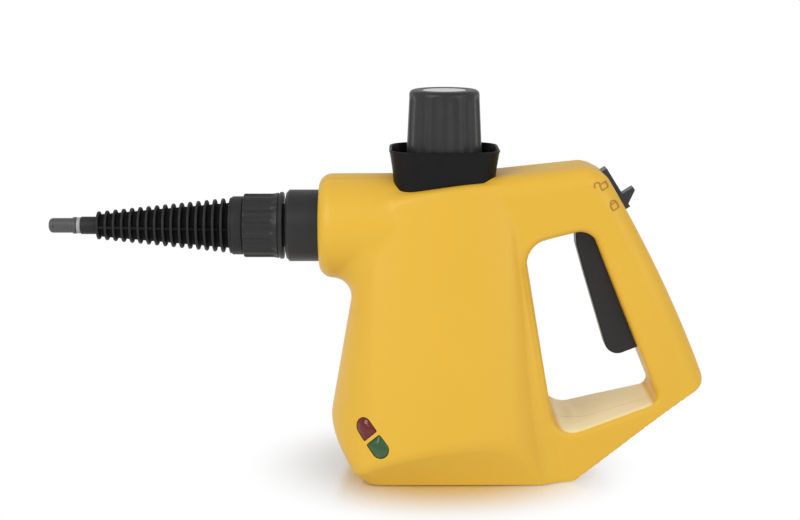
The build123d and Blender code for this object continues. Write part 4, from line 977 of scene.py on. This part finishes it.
outer = [(grip_front, grip_bore), (grip_front, grip_radius - 0.9), (grip_front + 0.3, grip_radius - 0.3),
         (grip_front + 0.9, grip_radius)]
outer += [(flute_start + (flute_end - flute_start) * k / 16, grip_radius) for k in range(17)]
groove_rear = groove_front + grip_groove
outer += [(flute_end + 1.2, grip_radius + 0.1), (groove_front - 0.2, grip_flare_radius),
          (groove_front, grip_flare_radius - 0.2), (groove_front, grip_flare_radius - 0.8),
          (groove_rear, grip_flare_radius - 0.8), (groove_rear, grip_band_radius - 0.3),
          (groove_rear + 0.3, grip_band_radius), (grip_rear - 0.4, grip_band_radius),
          (grip_rear, grip_band_radius - 0.4), (grip_rear, grip_bore)]
fit(make("grip", *through([grip_loop(*spot) for spot in outer], ring=True)), nozzle_black, "grip_ring")

rib_rear = grip_front - cone_flange_length
rib_front = rib_rear - cone_length
cone_front = rib_front - sleeve_length
rib_pitch = (cone_length - rib_width) / (rib_count - 1)
line = [(cone_front, nozzle_bore), (cone_front, sleeve_radius), (rib_front, sleeve_radius)]
rounds = [0.0, 0.4, 0.0]
for index in range(rib_count):
    rise = index / (rib_count - 1)
    place = rib_front + index * rib_pitch
    rib = rib_front_radius + (rib_rear_radius - rib_front_radius) * rise
    core = core_front_radius + (core_rear_radius - core_front_radius) * rise
    line += [(place, core), (place, rib), (place + rib_width, rib), (place + rib_width, core)]
    rounds += [0.0, 0.45, 0.6, 0.0]
flange_rear, spigot_rear = grip_front - nozzle_gap, station(spigot_length - outlet_length)
line = line[:-1] + [(rib_rear, cone_flange_radius), (flange_rear, cone_flange_radius),
                    (flange_rear, grip_bore - running_gap), (front - nozzle_gap, grip_bore - running_gap),
                    (front - nozzle_gap, spigot_shoulder), (spigot_rear, spigot_shoulder),
                    (spigot_rear, pipe_radius), (front + pipe_depth, pipe_radius),
                    (front + pipe_depth, nozzle_bore)]
rounds = rounds[:-1] + [0.5, 0.5] + [0.0] * 7
cone = make("cone", *turned(eased(line, rounds, 4), axis_place, 0))
fin_low, fin_high = core_front_radius + 0.99, core_rear_radius + 1.7
fin_half = 0.75
fin_base = (5.6, 8.0)
for side in (-1, 1):
    cut(cone, make("fin", *block([(rib_front + 0.2, side * fin_base[0]), (rib_front + 0.2, side * fin_low),
                                  (rib_rear - 0.2, side * fin_high), (rib_rear - 0.2, side * fin_base[1])],
                                 (0.0, 0.0, nozzle_axis), along_x, across_y, -fin_half, fin_half)), "UNION")


def away(finish, across, up):
    """How far a place lies from an axis, from its two distances to it."""
    return finish.sum("SQRT", finish.sum("POWER", across, 2.0) + finish.sum("POWER", up, 2.0))


cone_finish = Finish("cone_nylon", satin_black, 0.4, Specular_IOR_Level=0.14)
# Painted shade: the base colour runs from dark grey on the ribs to near black deep in the gaps between them, where
# shade falls; the gaps are also made rougher.
out_radius = away(cone_finish, cone_finish.place(1), cone_finish.place(2) - nozzle_axis * MM)
along = (cone_finish.place(0) - rib_front * MM) / (cone_length * MM)
rim_radius = rib_front_radius * MM + (rib_rear_radius - rib_front_radius) * MM * along
depth = cone_finish.rising(rim_radius - out_radius, 0.2 * MM, 1.3 * MM)
in_ribs = (cone_finish.place(0) > rib_front * MM) * (cone_finish.place(0) < rib_rear * MM)
cone_finish.set("Base Color", cone_finish.mix(depth * in_ribs, (0.026, 0.026, 0.027), (0.0008, 0.0008, 0.0008)))
cone_finish.set("Roughness", 0.36 + 0.14 * cone_finish.noise(2.6, 4.0) + 0.3 * depth * in_ribs)
cone_finish.grain(*moulded_grain)
fit(cone, cone_finish, "nozzle_cone")

ring_white = (0.33, 0.33, 0.335)
ring_finish = Finish("joint_ring", ring_white, 0.4)
ring_finish.mottled(ring_white, (0.38, 0.38, 0.385), 3.0, 0.5)
ring_finish.worn(0.36, 0.12, 2.0)
ring_finish.grain(0.3, 0.01)
joint_radius = 4.85
joint_length = 2.4
joint_front = cone_front - joint_length
outline = eased([(joint_front, nozzle_bore), (joint_front, joint_radius), (cone_front, joint_radius),
                 (cone_front, nozzle_bore)], [0.0, 0.4, 0.4, 0.0], 4)
fit(make("joint", *turned(outline, axis_place, 0, 72)), ring_finish, "tip_ring")

tip_grey = (0.060, 0.061, 0.063)
tip_length = 14.6
tip_step = 2.1
tip_radius = 4.4
tip_step_radius = 5.0
tip_bore = 1.2
tip_stem = 9.0
tip_stem_radius = 3.15
flat_front = 2.6
flat_rear = 12.0
flat_depth = 0.5
tip_rear = cone_front - joint_length - nozzle_gap
tip_front = cone_front - joint_length - tip_step - tip_length
tip_finish = Finish("tip_plastic", tip_grey, 0.42)
tip_finish.mottled(tip_grey, (0.075, 0.076, 0.079), 5.0, 0.5)
tip_finish.worn(0.36, 0.14, 2.0, 0.05)
tip_finish.grain(*moulded_grain)
outline = eased([(tip_front, tip_bore), (tip_front, tip_radius), (tip_rear - tip_step, tip_radius),
                 (tip_rear - tip_step, tip_step_radius), (tip_rear, tip_step_radius), (tip_rear, tip_stem_radius),
                 (tip_rear + tip_stem, tip_stem_radius), (tip_rear + tip_stem, tip_bore)],
                [0.3, 2.5, 0.3, 0.4, 0.3, 0.0, 0.3, 0.0], 7)
tip = make("tip", *turned(outline, axis_place, 0, 72))
cut(tip, make("flats", *together(*(
    block([(tip_front + x, side * (tip_radius + y)) for x, y in (
        (flat_front, -flat_depth), (flat_rear, -flat_depth), (flat_rear, 2.0), (flat_front, 2.0))],
          (0.0, 0.0, nozzle_axis), along_x, across_y, -tip_radius, tip_radius) for side in (-1, 1)))))
fit(tip, tip_finish, "tip_nozzle")

# The trigger and its switch
# A hollow black lever on a steel pin inside the handle. A spring pushes its lower end out
# into the loop, and its back presses the button of the steam switch.
trigger_black = (0.010, 0.0099, 0.0101)
trigger_half = 7.5
trigger_edge = 1.6
trigger_wall = 2.2
boss_radius = 5.0
pin_bore = 2.05
pivot = side_point((0.6894, 0.8656))
lean = atan2((opening[1][1] - opening[2][1]) * housing_height, (opening[2][0] - opening[1][0]) * housing_length)
trigger_toe = side_point((0.7607, 0.3688))
trigger_line = trigger_corners[:3] + [trigger_toe] + trigger_corners[5:]
corner_rounds = [0.0, 0.0, 9.6, 8.0, 0.0, 0.0, 0.0, 4.0, 4.0]


def trigger_loop(depth, inset):
    """The lever's outline in one upright plane, drawn in by inset for its rounded edges."""
    moved = grown(trigger_line, -inset)
    line = eased(moved, [max(0.0, value - inset) if value else 0.0 for value in corner_rounds], 9)
    return [(x, depth, z) for x, z in line]


loops = [trigger_loop(-trigger_half, trigger_edge)]
for angle in np.linspace(0.15, pi / 2, 6):
    loops.append(trigger_loop(trigger_edge * (1 - cos(angle)) - trigger_half, trigger_edge * (1 - sin(angle))))
loops += [[(x, -y, z) for x, y, z in loop] for loop in reversed(loops)]
lever = make("lever", *through(loops))
slant = trigger_wall / sin(lean)
grip_x, grip_z = trigger_corners[2]
front_x, front_z = trigger_corners[3]
toe_x, toe_z = trigger_corners[5]
rear_x, rear_z = trigger_corners[6]
back_x, back_z = trigger_corners[7]
cut(lever, make("lever_hollow", *block(
    [(grip_x + 2 * slant, grip_z), (front_x + 2 * slant, front_z), (toe_x, toe_z + slant),
     (rear_x + 1.0, rear_z + slant), (back_x + (back_z - grip_z) / tan(lean) + 1.0, grip_z)],
    (0.0, 0.0, 0.0), along_x, upward, -trigger_half + trigger_wall, trigger_half - trigger_wall)))
for name, radius, half, way in (("lever_boss", boss_radius, trigger_half, "UNION"),
                                ("lever_bore", pin_bore, trigger_half + 1.5, "DIFFERENCE")):
    cut(lever, make(name, *turned([(-half, radius), (half, radius)], pivot, 1, 48, ring=False)), way)
trigger_finish = Finish("trigger_nylon", trigger_black, 0.36, Specular_IOR_Level=0.4)
trigger_finish.mottled(trigger_black, (0.016, 0.0157, 0.016), 9.0, 0.6)
trigger_finish.worn(0.30, 0.14, 3.0, 0.06)
trigger_finish.grain(*moulded_grain)
fit(lever, trigger_finish, "trigger", smooth=40.0)
dress(zinc, "trigger_pin")

trigger_coil_seat = (165.2, 0.0, 112.9)
push_slope = atan2(0.38065, 0.92473)
trigger_coil_way = (-cos(push_slope), 0.0, -sin(push_slope))
trigger_coil_radius = 3.6
trigger_coil_length = 29.6
trigger_coil_turns = 7
trigger_coil = make("trigger_coil", *coil(trigger_coil_radius, trigger_coil_length, trigger_coil_turns,
                                          trigger_coil_seat, trigger_coil_way))
fit(trigger_coil, zinc, "trigger_spring")
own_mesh(trigger_coil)

# The sliding lock
# A black track snapped into the handle's back, with a small slide that carries a thumb hook.
# Two moulded padlocks beside it show which way it locks.
lock_black = (0.020, 0.020, 0.0205)
lock_finish = Finish("lock_nylon", lock_black, 0.36, Specular_IOR_Level=0.45)
lock_finish.mottled(lock_black, (0.03, 0.03, 0.031), 5.0, 0.6)
lock_finish.worn(0.28, 0.14, 2.0, 0.06)
lock_finish.grain(*moulded_grain)
dress(lock_finish, "lock_track", "lock_knob", "lock_bar")

sign_spots = ((side_point((0.7265, 0.9452)), True), (side_point((0.7549, 0.8812)), False))
sign_tilt = radians(26.0)
sign_half = (2.1, 1.75)
sign_line = 0.75
sign_rise = 0.3
sign_root = 0.4
open_lift = 0.4
open_turn = 1.15
sign_brown = (0.42, 0.225, 0.014)


def moulded_line(middle, line, ring):
    """A thin raised line on the housing's near side, along a line drawn round a middle."""
    loops = []
    for i, (u, v) in enumerate(line):
        after = Vector(line[(i + 1) % len(line)] if ring else line[min(i + 1, len(line) - 1)])
        before = Vector(line[i - 1 if ring or i else 0])
        side = Vector((after.y - before.y, before.x - after.x)).normalized() * sign_line / 2
        rim = []
        for a, b in ((u + side.x, v + side.y), (u - side.x, v - side.y)):
            across, up = a * cos(sign_tilt) - b * sin(sign_tilt), a * sin(sign_tilt) + b * cos(sign_tilt)
            rim.append(ray_to_skin((middle[0] + across, -60.0, middle[1] + up), (0.0, 1.0, 0.0), 60.0))
        loops.append([tuple(spot + way * sign_rise) for spot, way in rim]
                     + [tuple(spot - way * sign_root) for spot, way in reversed(rim)])
    return through(loops, ring)


sign_finish = Finish("padlock_signs", sign_brown, 0.5)
sign_finish.mottled(sign_brown, (0.36, 0.19, 0.012), 1.5)
for middle, is_open in sign_spots:
    wide, high = sign_half
    body = eased([(a * wide, b * high) for a, b in square], 0.45, 3)
    shackle_radius = wide - sign_line / 2
    shift = (-2.0 * shackle_radius, high + open_lift) if is_open else (0.0, high)
    shackle = [(shift[0] + shackle_radius * cos(angle), shift[1] + shackle_radius * sin(angle))
               for angle in np.linspace(0.0, pi * (open_turn if is_open else 1.0), 13)]
    name = "open" if is_open else "shut"
    sign = make(name + "_padlock", *together(moulded_line(middle, body, True),
                                             moulded_line(middle, shackle, False)))
    sign.data.materials.append(sign_finish.material)
    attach(sign, carrier["left_shell"])

# The indicator lamps
# Two domed lenses of clear coloured acrylic in one side, red for power and green for steam,
# with a small lamp on a holder behind each.
lens_shapes = ((-1, "red", (0.115, 0.004, 0.003)), (1, "green", (0.022, 0.080, 0.024)))
dome_rise = 1.5
dome_sink = 0.25
lens_root = 4.0
dome_shares = (1.0, 0.97, 0.92, 0.84, 0.72, 0.56, 0.36, 0.14)
for side, name, colour in lens_shapes:
    outline = lens_outline(side)
    centre = side * (lens_gap + lens_length) / 2
    base = []
    for u, v in outline:
        start = lens_middle + lens_down * u + lens_across * v
        hit, _ = ray_to_skin(start + lens_normal * 12.0, -lens_normal, 24.0)
        base.append((hit - start).dot(lens_normal))
    flat = sum(base) / len(base)
    loops = [[tuple(lens_middle + lens_down * u + lens_across * v - lens_normal * lens_root) for u, v in outline]]
    for share in dome_shares:
        rise = dome_rise * (1.0 - share ** 2.6) - dome_sink
        loop = []
        for (u, v), low in zip(outline, base):
            spot = lens_middle + lens_down * (centre + (u - centre) * share) + lens_across * v * share
            loop.append(tuple(spot + lens_normal * (low * share + flat * (1 - share) + rise)))
        loops.append(loop)
    lens_finish = Finish(name + "_lens", colour, 0.12, Coat_Weight=0.1)
    lens_finish.mottled(colour, tuple(1.25 * part for part in colour), 6.0, detail=2.0)
    lens_finish.worn(0.10, 0.08, 3.0, detail=2.0)
    fit(make(name + "_dome", *through(loops)), lens_finish, name + "_lens", smooth=50.0)
    glass = Finish(name + "_lamp_glass", tuple(3.0 * part for part in colour), 0.2)
    glass.worn(0.15, 0.1, 3.0, detail=2.0)
    dress(glass, name + "_lamp")

# The cord's inlet
# A flanged gland moulded in black rubber, held in a hole under the lower arm, which the mains
# lead passes through.
dress(seal, "cord_gland")

# The studio
# A pale floor with a soft sheen that runs on into a white room, lit by the room and by
# broad soft lamps in front.
floor_colour = (0.93, 0.92, 0.88)
floor_reach = 6.0
card_middle = 0.04
card_stretch = 1.15
card_edge = (0.042, 0.108)
floor_mesh = bpy.data.meshes.new("floor")
floor_mesh.from_pydata([(x * floor_reach, y * floor_reach, 0.0) for x, y in square], [], [(0, 1, 2, 3)])
floor = bpy.data.objects.new("floor", floor_mesh)
bpy.context.scene.collection.objects.link(floor)
card = Finish("floor_card", floor_colour, 0.22, Metallic=0.78)
card.mottled(floor_colour, (0.95, 0.94, 0.90), 30.0, detail=2.0)
seen = [card.node("ShaderNodeLightPath", {}, {}, out=name) for name in
        ("Is Camera Ray", "Is Glossy Ray", "Is Transmission Ray")]
shown = card.sum("MINIMUM", seen[0] + seen[1] + seen[2], 1.0)
off_middle = away(card, (card.place(0) - card_middle) / card_stretch, card.place(1))
beyond = card.rising(off_middle, *card_edge, interpolation_type="SMOOTHSTEP")
glow = card.node("ShaderNodeEmission", {}, {})
blend = card.node("ShaderNodeMixShader", {}, {
    0: shown * beyond, 1: Val(card.tree, card.shader.outputs[0]), 2: glow})
card.tree.links.new(blend.socket, card.output.inputs["Surface"])
floor.data.materials.append(card.material)

world = bpy.data.worlds.new("room")
bpy.context.scene.world = world
world.use_nodes = True
room = Val(world.node_tree)
background = world.node_tree.nodes["Background"]
seen = [room.node("ShaderNodeLightPath", {}, {}, out=name) for name in ("Is Camera Ray", "Is Transmission Ray")]
room_light = 0.66
lamp_size = 0.9
lamp_aim = (0.0, 0.0, 0.11)
strength = room_light + (1.0 - room_light) * (seen[0] + seen[1])
world.node_tree.links.new(strength.socket, background.inputs["Strength"])
background.inputs["Color"].default_value = (1.0, 1.0, 1.0, 1.0)


def soft_lamp(name, place, power):
    """A broad square lamp that looks at the cleaner."""
    data = bpy.data.lights.new(name, "AREA")
    data.shape = "RECTANGLE"
    data.size, data.size_y = lamp_size, lamp_size
    data.energy = power
    made = bpy.data.objects.new(name, data)
    made.location = place
    made.rotation_euler = (Vector(lamp_aim) - Vector(place)).to_track_quat("-Z", "Y").to_euler()
    bpy.context.scene.collection.objects.link(made)


soft_lamp("left_lamp", (-0.9, -1.0, 0.9), 9.0)
soft_lamp("right_lamp", (1.1, -1.0, 0.7), 5.6)
